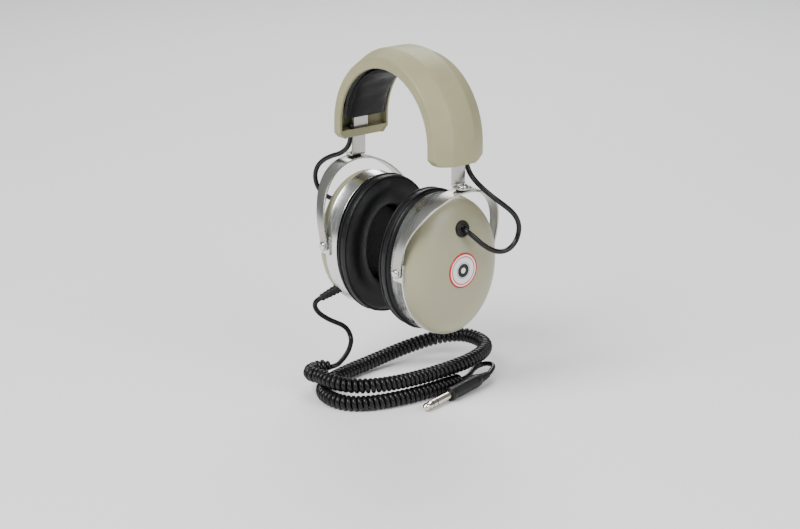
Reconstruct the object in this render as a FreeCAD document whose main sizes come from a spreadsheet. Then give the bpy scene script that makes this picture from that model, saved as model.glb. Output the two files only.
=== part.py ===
import FreeCAD, Part
import math
import os
import re
import Sketcher
from FreeCAD import Placement, Rotation, Vector

# Over-ear headphones held up by the headband, with a curly cord wound loosely below them.
# Millimetres. +Z is up, +X is the wearer's right cup, +Y is where the wearer looks.
# The origin is the middle of the crown pad's underside.

doc = FreeCAD.newDocument("headphones")
sheet = doc.addObject("Spreadsheet::Sheet", "sizes")

SIZES = [
    # headband, in the XZ plane: radii are about one centre, pad_r below the origin
    ("pad_r", 47.5), ("pad_top_r", 54.0), ("pad_half", 20.0), ("pad_angle", 172.0),
    ("felt_top_r", 56.7), ("felt_half", 18.0),
    ("cover_r", 52.5), ("edge_r", 60.5), ("crown_r", 67.0),
    ("crown_half", 10.5), ("cover_half", 24.5), ("skin", 2.2),
    ("end_drop", 12.0), ("end_wall", 6.5), ("corner_cut", 5.0),
    ("end_slot_x", 53.5), ("end_slot_len", 10.0), ("end_slot_half", 13.0),
    ("spring_r", 56.9), ("spring_thick", 1.2), ("spring_half", 7.0), ("spring_drop", 10.5),
    # slider and its bracket on the spring band
    ("stem_x", 59.4), ("stem_thick", 1.2), ("stem_wide", 13.0), ("stem_top", 15.5),
    ("stem_drop", 29.0), ("tab_thick", 1.2), ("tab_end", 6.5),
    ("slot_gap", 0.3), ("bracket_wall", 0.8), ("bracket_tall", 6.0), ("bracket_low", 10.0),
    ("stud_r", 1.5), ("stud_inset", 2.0),
    # swivel rivet and yoke
    ("swivel_x", 65.0), ("swivel_r", 2.0), ("swivel_head_r", 4.1), ("swivel_foot_r", 3.8),
    ("swivel_foot", 0.9), ("foot_gap", 0.3), ("washer_r", 5.0), ("washer_thick", 0.8), ("running_gap", 0.06),
    ("face_gap", 0.1), ("yoke_thick", 1.5), ("yoke_in", 46.6), ("yoke_top_half", 6.5),
    ("yoke_mid_half", 4.7), ("yoke_end_half", 4.2), ("yoke_mid_x", 52.5), ("yoke_shoulder_x", 59.0),
    # cup, round its own centre; the ear axis is X
    ("cup_drop", 142.0), ("pivot_x", 45.0), ("pivot_rise", 2.0),
    ("rim_wide", 43.9), ("rim_tall", 54.7), ("rim_thick", 1.0), ("rim_x", 33.6), ("rim_len", 13.9),
    ("dome_deep", 19.4), ("dome_wall", 2.0), ("dome_lip", 6.0), ("lip_gap", 0.05),
    ("cushion_x", 18.1), ("cushion_wide", 46.0), ("cushion_tall", 56.5),
    ("ear_wide", 21.5), ("ear_tall", 30.5), ("baffle_thick", 2.0), ("baffle_gap", 0.2),
    ("driver_hole_r", 19.0), ("driver_r", 24.0), ("driver_deep", 5.5), ("magnet_r", 15.0),
    ("magnet_deep", 8.0), ("cone_r", 18.0), ("cone_thick", 0.6), ("dust_thick", 1.6),
    ("grommet_rise", 32.5), ("grommet_r", 6.6), ("grommet_neck_r", 5.2), ("grommet_tilt", 9.5),
    ("badge_r", 13.75), ("badge_thick", 1.0), ("badge_seat", 0.5),
    ("bracket_half", 5.5), ("bracket_up", 7.0), ("pivot_gap", 0.4), ("pivot_pin_r", 1.6),
    ("pivot_head_r", 3.3), ("pivot_head", 2.2),
    # cords
    ("lead_r", 1.95), ("cord_r", 2.0), ("curl_r", 6.1), ("ground_drop", 256.5), ("cross_gap", 0.7),
    # plug, along its own axis from its tip
    ("plug_r", 3.175), ("plug_metal", 31.5), ("handle_r", 5.5), ("handle_len", 38.0),
    ("relief_len", 12.0), ("tip_len", 9.0), ("ring_len", 4.6), ("insulator", 0.8),
]
for row, (alias, value) in enumerate(SIZES, start=1):
    sheet.set("A%d" % row, alias)
    sheet.set("B%d" % row, str(value))
    sheet.setAlias("B%d" % row, alias)
doc.recompute()
NAMES = {alias for alias, value in SIZES}


def size(alias):
    return float(sheet.get(alias))


def formula(text):
    """Turns a formula in the sheet's words into one that the document can read."""
    return re.sub(r"[a-z_]+", lambda m: "sizes." + m.group(0) if m.group(0) in NAMES else m.group(0), str(text))


def bind(item, **formulas):
    for prop, text in formulas.items():
        item.setExpression(prop.replace("__", "."), formula(text))


def place(item, x="0", y="0", z="0", turn=None):
    if turn:
        item.Placement = Placement(Vector(), Rotation(Vector(*turn[0]), turn[1]))
    bind(item, Placement__Base__x=x, Placement__Base__y=y, Placement__Base__z=z)
    return item


def named(item, label):
    item.Label = label
    parts[label] = item
    return item


def sketch(label, plane, *loops):
    """A sketch of closed outlines; each corner is a pair of formulas held from the sketch's origin."""
    flat = doc.addObject("Sketcher::SketchObject", label)
    flat.Placement = Placement(Vector(), PLANES[plane])
    return draw(flat, loops)


def draw(flat, loops):
    first = 0
    for loop in loops:
        count = len(loop)
        for i in range(count):
            a, b = 2.0 * math.pi * i / count, 2.0 * math.pi * (i + 1) / count
            start = Vector(10 * math.cos(a), 10 * math.sin(a), 0)
            flat.addGeometry(Part.LineSegment(start, Vector(10 * math.cos(b), 10 * math.sin(b), 0)))
        for i in range(count):
            flat.addConstraint(Sketcher.Constraint("Coincident", first + i, 2, first + (i + 1) % count, 1))
        for i, corner in enumerate(loop):
            for kind, text in zip(("DistanceX", "DistanceY"), corner):
                index = flat.addConstraint(Sketcher.Constraint(kind, -1, 1, first + i, 1, 1.0))
                flat.setExpression("Constraints[%d]" % index, formula(text))
        first += count
    return flat


def slab(label, base, direction, length, middle=False):
    item = doc.addObject("Part::Extrusion", label)
    item.Base, item.DirMode, item.Dir = base, "Custom", Vector(*direction)
    item.Solid, item.Symmetric = True, middle
    bind(item, LengthFwd=length)
    return item


def spun(label, base, axis, centre_z, angle):
    """Turned about an axis through (0, 0, centre_z), half the angle each way."""
    item = doc.addObject("Part::Revolution", label)
    item.Source, item.Axis, item.Solid, item.Symmetric = base, Vector(*axis), True, True
    item.FaceMakerClass = "Part::FaceMakerBullseye"
    bind(item, Base__z=centre_z, Angle=angle)
    return item


def join(label, *items):
    item = doc.addObject("Part::MultiFuse", label)
    item.Shapes, item.Refine = list(items), True
    return item


def cut(label, base, *tools):
    item = doc.addObject("Part::Cut", label)
    item.Base, item.Tool = base, tools[0] if len(tools) == 1 else join(label + "_tools", *tools)
    return item


def common(label, first, second):
    item = doc.addObject("Part::Common", label)
    item.Base, item.Tool = first, second
    return item


def block(label, x, y, z, long, wide, tall):
    """A box from its low corner."""
    item = place(doc.addObject("Part::Box", label), x, y, z)
    bind(item, Length=long, Width=wide, Height=tall)
    return item


def rod(label, radius, length, x, y, z, turn=None):
    item = place(doc.addObject("Part::Cylinder", label), x, y, z, turn)
    bind(item, Radius=radius, Height=length)
    return item


def oval(label, x, wide, tall, rise="0"):
    """An upright ellipse across the ear axis; wide and tall are its half sizes."""
    item = doc.addObject("Part::Ellipse", label)
    item.Placement = Placement(Vector(), Rotation(Vector(0, 1, 0), -90))
    bind(item, MajorRadius=tall, MinorRadius=wide, Placement__Base__x=x,
         Placement__Base__z="%s - cup_drop" % rise)
    return item


def oval_plate(label, x, wide, tall, thick):
    return slab(label, oval(label + "_edge", x, wide, tall), (1, 0, 0), thick)


def lofted(label, sections):
    item = doc.addObject("Part::Loft", label)
    item.Sections, item.Solid, item.Ruled = sections, True, False
    return item


PLANES = {"XY": Rotation(), "XZ": Rotation(Vector(1, 0, 0), 90), "YZ": Rotation(Vector(1, 1, 1), 120)}
ALONG_X = ((0, 1, 0), 90)
ALONG_Y = ((1, 0, 0), -90)
parts = {}

# ---- headband -----------------------------------------------------------------------------------

OUTER = [("-crown_half", "crown_r"), ("crown_half", "crown_r"), ("cover_half", "edge_r"), ("cover_half", "cover_r")]
INNER = [("cover_half - skin", "cover_r"), ("cover_half - skin", "edge_r - skin * 2 / 3"),
         ("crown_half - skin / 4", "crown_r - skin")]


def mirrored(points):
    return [("-(%s)" % across, up) for across, up in reversed(points)]


def band_section(drop):
    """The cover's section at the crown: flat top, sloping shoulders, straight sides, open below."""
    loop = OUTER + INNER + mirrored(INNER) + [("-cover_half", "cover_r"), ("-cover_half", "edge_r")]
    return [(across, "%s - %s" % (up, drop)) for across, up in loop]


def end_section(side, hollow):
    """The same section lying flat at an end, side 1 for right and -1 for left."""
    loop = OUTER + (INNER + mirrored(INNER) if hollow else [])
    loop = loop + [("-cover_half", "cover_r"), ("-cover_half", "edge_r")]
    return [("%d * (%s)" % (side, up), across) for across, up in loop]


def ring_section(low, high, half):
    return [("-" + half, low + " - pad_r"), (half, low + " - pad_r"),
            (half, high + " - pad_r"), ("-" + half, high + " - pad_r")]


def strip(label, low, high, half, angle):
    """A flat strip bent round the headband's centre."""
    return spun(label, sketch(label + "_section", "YZ", ring_section(low, high, half)), (0, 1, 0), "-pad_r", angle)


arch = spun("cover_arch", sketch("cover_section", "YZ", band_section("pad_r")), (0, 1, 0), "-pad_r", "180")
pieces = [arch]
for side, word in ((1, "right"), (-1, "left")):
    wall = sketch(word + "_end_section", "XY", end_section(side, True))
    bind(wall, Placement__Base__z="-pad_r")
    pieces.append(slab(word + "_end", wall, (0, 0, -1), "end_drop - end_wall"))
    plug = sketch(word + "_wall_section", "XY", end_section(side, False))
    bind(plug, Placement__Base__z="-pad_r - end_drop + end_wall")
    pieces.append(slab(word + "_wall", plug, (0, 0, -1), "end_wall"))
holes = []
for side, word in ((1, "right"), (-1, "left")):
    low = "end_slot_x" if side == 1 else "-end_slot_x - end_slot_len"
    holes.append(block(word + "_end_slot", low, "-end_slot_half", "-pad_r - end_drop - 1",
                       "end_slot_len", "2 * end_slot_half", "end_wall + 2"))
for side in (1, -1):
    corner = sketch("corner_%d" % side, "YZ",
                    [("%d * (cover_half - corner_cut)" % side, "-pad_r - end_drop - 0.01"),
                     ("%d * (cover_half + 1)" % side, "-pad_r - end_drop - 0.01"),
                     ("%d * (cover_half + 1)" % side, "-pad_r - end_drop + corner_cut + 1")])
    holes.append(slab("corner_cut_%d" % side, corner, (1, 0, 0), "4 * crown_r", True))
named(cut("cover", join("cover_solid", *pieces), *holes), "headband_cover")
named(strip("pad", "pad_r", "pad_top_r", "pad_half", "pad_angle"), "headband_pad")
named(strip("felt", "pad_top_r + face_gap", "felt_top_r", "felt_half", "pad_angle"), "headband_felt")
steel = [strip("spring_arch", "spring_r", "spring_r + spring_thick", "spring_half", "180")]
for side, word in ((1, "right"), (-1, "left")):
    low = "spring_r" if side == 1 else "-spring_r - spring_thick"
    steel.append(block(word + "_spring_end", low, "-spring_half", "-pad_r - spring_drop",
                       "spring_thick", "2 * spring_half", "spring_drop"))
named(join("spring", *steel), "spring_band")

# ---- slider, bracket, swivel rivet ----------------------------------------------------------------

TAB_TOP = "(stem_drop + pad_r)"
YOKE_TOP = "(stem_drop + pad_r + tab_thick + washer_thick + 2 * face_gap)"


def pad_body(label, plane, loop, length):
    """A PartDesign body with one pad, half its length each way."""
    body = doc.addObject("PartDesign::Body", label + "_body")
    flat = body.newObject("Sketcher::SketchObject", label + "_profile")
    origin = [o for o in body.Origin.OriginFeatures if o.Role == plane][0]
    flat.AttachmentSupport, flat.MapMode = (origin, [""]), "FlatFace"
    draw(flat, [loop])
    pad = body.newObject("PartDesign::Pad", label + "_pad")
    pad.Profile, pad.Midplane = flat, True
    bind(pad, Length=length)
    return body, pad


def rounded(body, base, radius, wanted):
    doc.recompute()
    edges = ["Edge%d" % (i + 1) for i, edge in enumerate(base.Shape.Edges) if wanted(edge)]
    fillet = body.newObject("PartDesign::Fillet", base.Label + "_round")
    fillet.Base = (base, edges)
    bind(fillet, Radius=radius)
    body.Tip = fillet
    return fillet


def upright(edge):
    start, end = edge.Vertexes[0].Point, edge.Vertexes[-1].Point
    return abs(start.x - end.x) < 0.01 and abs(start.y - end.y) < 0.01


slider, stem = pad_body("slider", "XZ_Plane", [
    ("stem_x", "stem_top - pad_r"), ("stem_x + stem_thick", "stem_top - pad_r"),
    ("stem_x + stem_thick", "-" + TAB_TOP), ("swivel_x + tab_end", "-" + TAB_TOP),
    ("swivel_x + tab_end", "-" + TAB_TOP + " - tab_thick"), ("stem_x", "-" + TAB_TOP + " - tab_thick")],
    "stem_wide")
far = size("swivel_x") + size("tab_end")
rounded(slider, stem, "stem_wide * 0.42", lambda e: upright(e) and e.Vertexes[0].X > far - 0.01)
swivel_bore = rod("tab_bore", "swivel_r", "4 * tab_thick", "swivel_x", "0", "-" + TAB_TOP + " - 2 * tab_thick")
named(cut("slider_cut", slider, swivel_bore), "right_slider")

stud_z = "stem_top - stud_inset - stud_r - pad_r"
named(rod("stud", "stud_r", "stem_x - spring_r - spring_thick - slot_gap", "spring_r + spring_thick + slot_gap",
          "0", stud_z, ALONG_X), "right_stop_stud")

BAND_FACE = "(spring_r + spring_thick)"
BRACKET_Z = "-pad_r - bracket_low"
bracket = block("bracket_block", BAND_FACE, "-stem_wide / 2 - slot_gap - bracket_wall", BRACKET_Z,
                "stem_x + stem_thick + slot_gap + bracket_wall - " + BAND_FACE,
                "stem_wide + 2 * slot_gap + 2 * bracket_wall", "bracket_tall")
slot = block("bracket_slot", "stem_x - slot_gap", "-stem_wide / 2 - slot_gap", BRACKET_Z + " - 1",
             "stem_thick + 2 * slot_gap", "stem_wide + 2 * slot_gap", "bracket_tall + 2")
named(cut("bracket", bracket, slot), "right_slide_bracket")

swivel_low = "-" + YOKE_TOP + " - yoke_thick - foot_gap"
shank = rod("swivel_shank", "swivel_r", "yoke_thick + washer_thick + tab_thick + foot_gap + 3 * face_gap",
            "swivel_x", "0", swivel_low)
foot = rod("swivel_foot_disc", "swivel_foot_r", "swivel_foot", "swivel_x", "0", swivel_low + " - swivel_foot")
head = place(doc.addObject("Part::Sphere", "swivel_head"), "swivel_x", "0", "-" + TAB_TOP + " + face_gap")
head.Angle1 = 0
bind(head, Radius="swivel_head_r")
flatten = rod("swivel_head_flat", "swivel_head_r * 2", "swivel_head_r", "swivel_x", "0",
              "-" + TAB_TOP + " + face_gap + swivel_head_r * 0.6")
named(join("swivel", shank, foot, cut("swivel_dome", head, flatten)), "right_swivel_rivet")
ring = rod("washer_disc", "washer_r", "washer_thick", "swivel_x", "0", "-" + YOKE_TOP + " + face_gap")
hole = rod("washer_hole", "swivel_r", "washer_thick + 2", "swivel_x", "0", "-" + YOKE_TOP + " - 1")
named(cut("washer", ring, hole), "right_swivel_washer")

# ---- yoke -------------------------------------------------------------------------------------------

YOKE_MID = "(-%s - yoke_thick - yoke_in)" % YOKE_TOP
PIVOT_Z = "(pivot_rise - cup_drop)"
reach = "2 * swivel_x"
outer = rod("yoke_outer", "yoke_in + yoke_thick", reach, "0", "0", YOKE_MID, ALONG_X)
inner = rod("yoke_inner", "yoke_in", reach, "0", "0", YOKE_MID, ALONG_X)
lower = block("yoke_lower", "-1", "-2 * yoke_in", YOKE_MID + " - 2 * yoke_in", reach + " + 2", "4 * yoke_in",
              "2 * yoke_in")
legs = [block("yoke_leg_%d" % (side + 1), "0", "yoke_in" if side > 0 else "-yoke_in - yoke_thick",
              PIVOT_Z + " - yoke_end_half", reach, "yoke_thick", "%s - %s + yoke_end_half" % (YOKE_MID, PIVOT_Z))
        for side in (-1, 1)]
arch = join("yoke_strip", cut("yoke_arch", outer, inner, lower), *legs)
yoke_side = [("swivel_x - yoke_top_half", "-%s + 1" % YOKE_TOP), ("swivel_x + yoke_top_half", "-%s + 1" % YOKE_TOP),
             ("swivel_x + yoke_top_half", "-%s - 3" % YOKE_TOP),
             ("yoke_shoulder_x + yoke_mid_half * 1.25", "-%s - 16" % YOKE_TOP),
             ("yoke_mid_x + yoke_mid_half", "(%s - %s) / 2" % (PIVOT_Z, YOKE_TOP)),
             ("pivot_x + yoke_end_half", PIVOT_Z + " + yoke_end_half"), ("pivot_x + yoke_end_half", PIVOT_Z),
             ("pivot_x + yoke_end_half * 0.71", PIVOT_Z + " - yoke_end_half * 0.71"),
             ("pivot_x", PIVOT_Z + " - yoke_end_half"),
             ("pivot_x - yoke_end_half * 0.71", PIVOT_Z + " - yoke_end_half * 0.71"),
             ("pivot_x - yoke_end_half", PIVOT_Z), ("pivot_x - yoke_end_half", PIVOT_Z + " + yoke_end_half"),
             ("yoke_mid_x - yoke_mid_half", "(%s - %s) / 2" % (PIVOT_Z, YOKE_TOP)),
             ("yoke_shoulder_x - yoke_mid_half * 1.25", "-%s - 16" % YOKE_TOP),
             ("swivel_x - yoke_top_half", "-%s - 3" % YOKE_TOP)]
blank = slab("yoke_blank", sketch("yoke_side", "XZ", yoke_side), (0, 1, 0), "4 * yoke_in", True)
pivot_bore = rod("yoke_pivot_bore", "pivot_pin_r + running_gap", "4 * yoke_in", "pivot_x", "-2 * yoke_in", PIVOT_Z,
                 ALONG_Y)
top_bore = rod("yoke_top_bore", "swivel_r + running_gap", "3 * yoke_thick", "swivel_x", "0",
               "-%s - 2 * yoke_thick" % YOKE_TOP)
named(cut("yoke", common("yoke_shape", arch, blank), pivot_bore, top_bore), "right_yoke")

# ---- cup --------------------------------------------------------------------------------------------


def dome(label, base_x, deep, wide, tall):
    """A blunt dome over an oval: the half sizes shrink as (1 - u^2.8)^(1/2.8) up its depth."""
    steps = (0.0, 0.3, 0.55, 0.74, 0.87, 0.95, 0.985)
    sections = []
    for i, u in enumerate(steps):
        share = (1.0 - u ** 2.8) ** (1 / 2.8)
        sections.append(oval("%s_oval_%d" % (label, i), "%s + (%s) * %g" % (base_x, deep, u),
                             "(%s) * %.4f" % (wide, share), "(%s) * %.4f" % (tall, share)))
    return lofted(label, sections)


RIM_END = "(rim_x + rim_len)"
inside_wide, inside_tall = "(rim_wide - rim_thick - lip_gap)", "(rim_tall - rim_thick - lip_gap)"
skin_dome = dome("shell_dome", RIM_END, "dome_deep", "rim_wide", "rim_tall")
lip = oval_plate("shell_lip", RIM_END + " - dome_lip", inside_wide, inside_tall, "dome_lip + 0.5")
hollow = dome("shell_hollow", RIM_END, "dome_deep - dome_wall", "rim_wide - rim_thick - dome_wall",
              "rim_tall - rim_thick - dome_wall")
mouth = oval_plate("shell_mouth", RIM_END + " - dome_lip - 1", "rim_wide - rim_thick - dome_wall",
                   "rim_tall - rim_thick - dome_wall", "dome_lip + 1.2")
seat = rod("badge_seat_cut", "badge_r + 0.1", "10", RIM_END + " + dome_deep * 0.985 - badge_seat", "0", "-cup_drop",
           ALONG_X)
GROMMET_TURN = ((0, 1, 0), 90 - size("grommet_tilt"))
GROMMET_X = RIM_END + " + dome_deep * 0.89"
neck = rod("grommet_hole", "grommet_neck_r", "8", GROMMET_X + " - 5", "0",
           "grommet_rise - cup_drop - 5 * sin(grommet_tilt)", GROMMET_TURN)
named(cut("shell", join("shell_solid", skin_dome, lip), hollow, mouth, seat, neck), "right_shell")
outer = oval_plate("rim_outer", "rim_x", "rim_wide", "rim_tall", "rim_len")
inner = oval_plate("rim_inner", "rim_x - 1", "rim_wide - rim_thick", "rim_tall - rim_thick", "rim_len + 2")
named(cut("rim", outer, inner), "right_rim_band")
baffle = oval_plate("baffle_plate", "rim_x + baffle_gap", "rim_wide - rim_thick - baffle_gap",
                    "rim_tall - rim_thick - baffle_gap", "baffle_thick")
hole = rod("baffle_hole", "driver_hole_r", "10", "rim_x - 3", "0", "-cup_drop", ALONG_X)
named(cut("baffle", baffle, hole), "right_baffle")
BAFFLE_BACK = "(rim_x + baffle_gap + baffle_thick)"
basket = rod("basket_can", "driver_r", "driver_deep", BAFFLE_BACK, "0", "-cup_drop", ALONG_X)
hole = rod("basket_hole", "driver_hole_r - 1", "driver_deep - 1.2", BAFFLE_BACK + " - 0.1", "0", "-cup_drop", ALONG_X)
named(cut("basket", basket, hole), "right_driver_basket")
named(rod("magnet", "magnet_r", "magnet_deep", BAFFLE_BACK + " + driver_deep", "0", "-cup_drop", ALONG_X),
      "right_driver_magnet")
cone = place(doc.addObject("Part::Cone", "cone_outer"), BAFFLE_BACK + " + 0.4", "0", "-cup_drop", ALONG_X)
bind(cone, Radius1="cone_r - 0.3", Radius2="cone_r / 3", Height="driver_deep / 2")
scoop = place(doc.addObject("Part::Cone", "cone_inner"), BAFFLE_BACK + " + 0.4 - cone_thick", "0", "-cup_drop", ALONG_X)
bind(scoop, Radius1="cone_r - 0.3", Radius2="cone_r / 3", Height="driver_deep / 2")
named(cut("cone", cone, scoop), "right_diaphragm")

steps = [("cushion_x", 10.0, 10.0), ("cushion_x + 0.6", 6.4, 6.4), ("cushion_x + 2", 3.0, 3.0),
         ("cushion_x + 5.5", 0.0, 0.0), ("rim_x - 4", 0.6, 0.6), ("rim_x - face_gap", 2.2, 2.2)]
ring = lofted("cushion_ring", [oval("cushion_oval_%d" % i, x, "cushion_wide - %g" % w, "cushion_tall - %g" % t)
                               for i, (x, w, t) in enumerate(steps)])
steps = [("cushion_x - 0.5", -5.6), ("cushion_x + 1.2", -3.6), ("cushion_x + 4", -1.0), ("rim_x - 4", 0.0),
         ("rim_x + 1", 0.6)]
ear = lofted("ear_hole", [oval("ear_oval_%d" % i, x, "ear_wide - (%g)" % w, "ear_tall - (%g)" % w)
                          for i, (x, w) in enumerate(steps)])
named(cut("cushion", ring, ear), "right_cushion")
named(oval_plate("dust", "rim_x - dust_thick - 0.3", "ear_wide - 1.2", "ear_tall - 1.2", "dust_thick"),
      "right_dust_foam")
screws = []
for i in range(4):
    y = "%d * (driver_r + 6) * 0.8" % (1 if i % 2 else -1)
    z = "%d * (driver_r + 8) - cup_drop" % (1 if i < 2 else -1)
    screws.append(rod("baffle_screw_%d" % i, "1.4", "5", BAFFLE_BACK, y, z, ALONG_X))
named(join("baffle_screw_set", *screws), "right_baffle_screws")

collar = rod("grommet_collar", "grommet_r", "2.6", GROMMET_X + " - 0.1", "0", "grommet_rise - cup_drop", GROMMET_TURN)
waist = rod("grommet_waist", "grommet_neck_r - 0.05", "6", GROMMET_X + " - 4.5", "0",
            "grommet_rise - cup_drop - 4.5 * sin(grommet_tilt)", GROMMET_TURN)
ring = join("grommet_solid", collar, waist)
bore = rod("grommet_bore", "lead_r + running_gap", "14", GROMMET_X + " - 7", "0",
           "grommet_rise - cup_drop - 7 * sin(grommet_tilt)", GROMMET_TURN)
named(cut("grommet", cut("grommet_bored", ring, bore), skin_dome), "right_grommet")
named(rod("badge", "badge_r", "badge_thick", RIM_END + " + dome_deep * 0.985 - badge_seat", "0", "-cup_drop",
          ALONG_X), "right_badge")

plates, pins = [], []
for side in (-1, 1):
    y = "rim_wide - 1.5" if side > 0 else "-yoke_in + pivot_gap"
    plates.append(block("pivot_plate_%d" % (side + 1), "pivot_x - bracket_half", y, PIVOT_Z + " - bracket_up",
                        "2 * bracket_half", "yoke_in - pivot_gap - rim_wide + 1.5", "2 * bracket_up"))
    y = "yoke_in - pivot_gap - 1.8" if side > 0 else "-yoke_in - yoke_thick - face_gap - 0.1"
    pins.append(rod("pivot_pin_%d" % (side + 1), "pivot_pin_r", "yoke_thick + pivot_gap + 1.8 + face_gap + 0.1",
                    "pivot_x", y, PIVOT_Z, ALONG_Y))
    y = "yoke_in + yoke_thick + face_gap" if side > 0 else "-yoke_in - yoke_thick - face_gap - pivot_head"
    pins.append(rod("pivot_head_%d" % (side + 1), "pivot_head_r", "pivot_head", "pivot_x", y, PIVOT_Z, ALONG_Y))
solid_rim = oval_plate("rim_solid", "rim_x - 5", "rim_wide", "rim_tall", "rim_len + 10")
pin_holes = rod("pivot_plate_bore", "pivot_pin_r", "4 * yoke_in", "pivot_x", "-2 * yoke_in", PIVOT_Z, ALONG_Y)
named(cut("pivot_plates", join("pivot_plate_pair", *plates), solid_rim, skin_dome, pin_holes),
      "right_pivot_brackets")
named(join("pivot_screw_set", *pins), "right_pivot_screws")

# ---- left-hand copies ---------------------------------------------------------------------------

for label in [name for name in parts if name.startswith("right_")]:
    copy = doc.addObject("Part::Mirroring", label.replace("right_", "left_") + "_copy")
    copy.Source, copy.Normal = parts[label], Vector(1, 0, 0)
    named(copy, label.replace("right_", "left_"))

# ---- cords --------------------------------------------------------------------------------------
# Routes are points chosen by hand, apart from the curl's turns, which a formula gives.

GROUND = -size("ground_drop")
ROUTES = {
    "right_lead": [(57.5, 9.6, -50), (57.6, 9.6, -57.5), (59.5, 9.6, -65), (64.3, 10, -70.8), (70.2, 11.6, -75.9),
                   (75.4, 14.8, -80.9), (79.1, 19.6, -85.9), (81.5, 25.5, -91), (83.2, 31.5, -96), (84.3, 37, -102),
                   (84.6, 40.3, -109), (84.6, 40.1, -116.5), (84.3, 36.8, -123.3), (83.6, 30.3, -127.8),
                   (82.2, 22.6, -128.2), (80.3, 15.5, -125.2), (77.8, 9.3, -120.5), (74.8, 4.6, -115.2),
                   (71.4, 1.5, -111.4), (67, 0.2, -109.6), (62, 0, -110)],
    "left_lead": [(-57.5, -9.6, -50), (-57.6, -9.6, -57.5), (-60, -9.6, -64.8), (-65.5, -10, -70.3),
                  (-72.5, -11.5, -73.8), (-79, -13.5, -77), (-85, -15.8, -81.5), (-90, -18, -87.5),
                  (-92.8, -19, -94.7), (-93.3, -18.6, -102.5), (-91.6, -16.3, -109.8), (-87.4, -12.5, -115.2),
                  (-81.5, -8, -117.4), (-75.6, -4, -115.5), (-70.8, -1.3, -111.8), (-66.6, -0.2, -109.6),
                  (-62, 0, -110)],
    "cord_drop": [(-57, -41.9, -187.8), (-59.3, -44.8, -190), (-60.9, -45.6, -194), (-61.2, -43.9, -198.3),
                  (-60.8, -40.8, -202.3), (-59.9, -36.6, -206), (-58.8, -31.6, -209.5), (-57.6, -26.2, -212.8),
                  (-56.4, -21, -216.6), (-55.2, -17, -221.5), (-53.4, -15.4, -227.2), (-50.6, -16.8, -232.4),
                  (-46.8, -20.8, -235.8), (-43, -26, -237.4), (-39.8, -31.8, -237.8), (-37, -37.6, -238),
                  (-35, -43, -238.6)],
    "cord_tail": [(27.8, 41.5, -250.4), (24.2, 47.5, -250.2), (20.8, 53.5, -249.3), (19.8, 60, -247.8),
                  (23.3, 65.4, -246.3), (29.5, 66.6, -245.8), (34.5, 62.5, -247)],
}
# Where a lead crosses a joint it is two pieces, and the drop is three: each number is the run, counted
# from the start, at whose middle the next piece begins.
PIECES = {
    "right_lead": [("right_lead_upper", 0), ("right_lead_lower", 7)],
    "left_lead": [("left_lead_upper", 0), ("left_lead_lower", 5)],
    "cord_drop": [("cord_drop_upper", 0), ("cord_drop_middle", 7), ("cord_drop_lower", 12)],
    "cord_tail": [("cord_tail", 0)],
}
CURL_START = [(-36.5, -47.5, -239.3), (-41.2, -52, -239.6), (-43.2, -58, -240), (-41.7, -64.3, -240),
              (-36.8, -68.5, -239.6), (-30.5, -70.3, -238.8)]
CURL = {"start": -101.0, "end": 379.0, "step": 16.0, "square": 2.5, "centre_x": (-15.0, -3.0),
        "centre_y": (6.4, 6.1), "wide": (43.0, 33.8), "tall": (75.6, 79.4), "upper": 18.4, "lower": 6.1,
        "fall": (100.0, 205.0)}


def curl_points():
    """A loose winding: a squared oval that changes size, its first turn on top of the second."""
    count = round((CURL["end"] - CURL["start"]) / CURL["step"])
    points = list(CURL_START)
    for i in range(count + 1):
        angle = CURL["start"] + CURL["step"] * i
        x, y, wide, tall = [CURL[name][0] + (CURL[name][1] - CURL[name][0]) * i / count
                            for name in ("centre_x", "centre_y", "wide", "tall")]
        c, s = math.cos(math.radians(angle)), math.sin(math.radians(angle))
        stretch = (abs(c) ** CURL["square"] + abs(s) ** CURL["square"]) ** (-1 / CURL["square"])
        fall = min(max((angle - CURL["fall"][0]) / (CURL["fall"][1] - CURL["fall"][0]), 0), 1)
        drop = (CURL["upper"] - CURL["lower"]) * (1 - math.cos(math.pi * fall)) / 2
        points.append((x + wide * c * stretch, y + tall * s * stretch, GROUND + CURL["upper"] - drop))
    return points


def pieces_of(route):
    """The pieces of a route by name; a run that is shared has its middle as both pieces' end."""
    points, names = ROUTES[route], PIECES[route]
    ends = [first for label, first in names[1:]] + [None]
    for (label, first), last in zip(names, ends):
        piece = points[first:last]
        if first:
            piece = [tuple((a + b) / 2 for a, b in zip(points[first - 1], points[first]))] + piece
        if last:
            piece = piece + [tuple((a + b) / 2 for a, b in zip(points[last - 1], points[last]))]
        yield label, piece


def rounded_path(points, label, diameter):
    """Straight runs joined by tangent arcs, each as large as its two runs allow."""
    points = [Vector(*p) for p in points]
    edges, start, radii = [], points[0], []
    for before, corner, after in zip(points, points[1:], points[2:]):
        back, on = before - corner, after - corner
        trim = 0.45 * min(back.Length, on.Length)
        half_turn = (math.pi - back.getAngle(on)) / 2
        radii.append(trim / math.tan(half_turn))
        first = corner + back.normalize() * trim
        last = corner + on.normalize() * trim
        inward = (back + on).normalize()
        middle = corner + inward * (radii[-1] / math.cos(half_turn) - radii[-1])
        edges += [Part.LineSegment(start, first).toShape(), Part.Arc(first, middle, last).toShape()]
        start = last
    edges.append(Part.LineSegment(start, points[-1]).toShape())
    wire = Part.Wire(edges)
    print("%s: length %.1f, arc radii %.1f to %.1f, diameter %.1f"
          % (label, wire.Length, min(radii), max(radii), diameter))
    return wire


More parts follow.
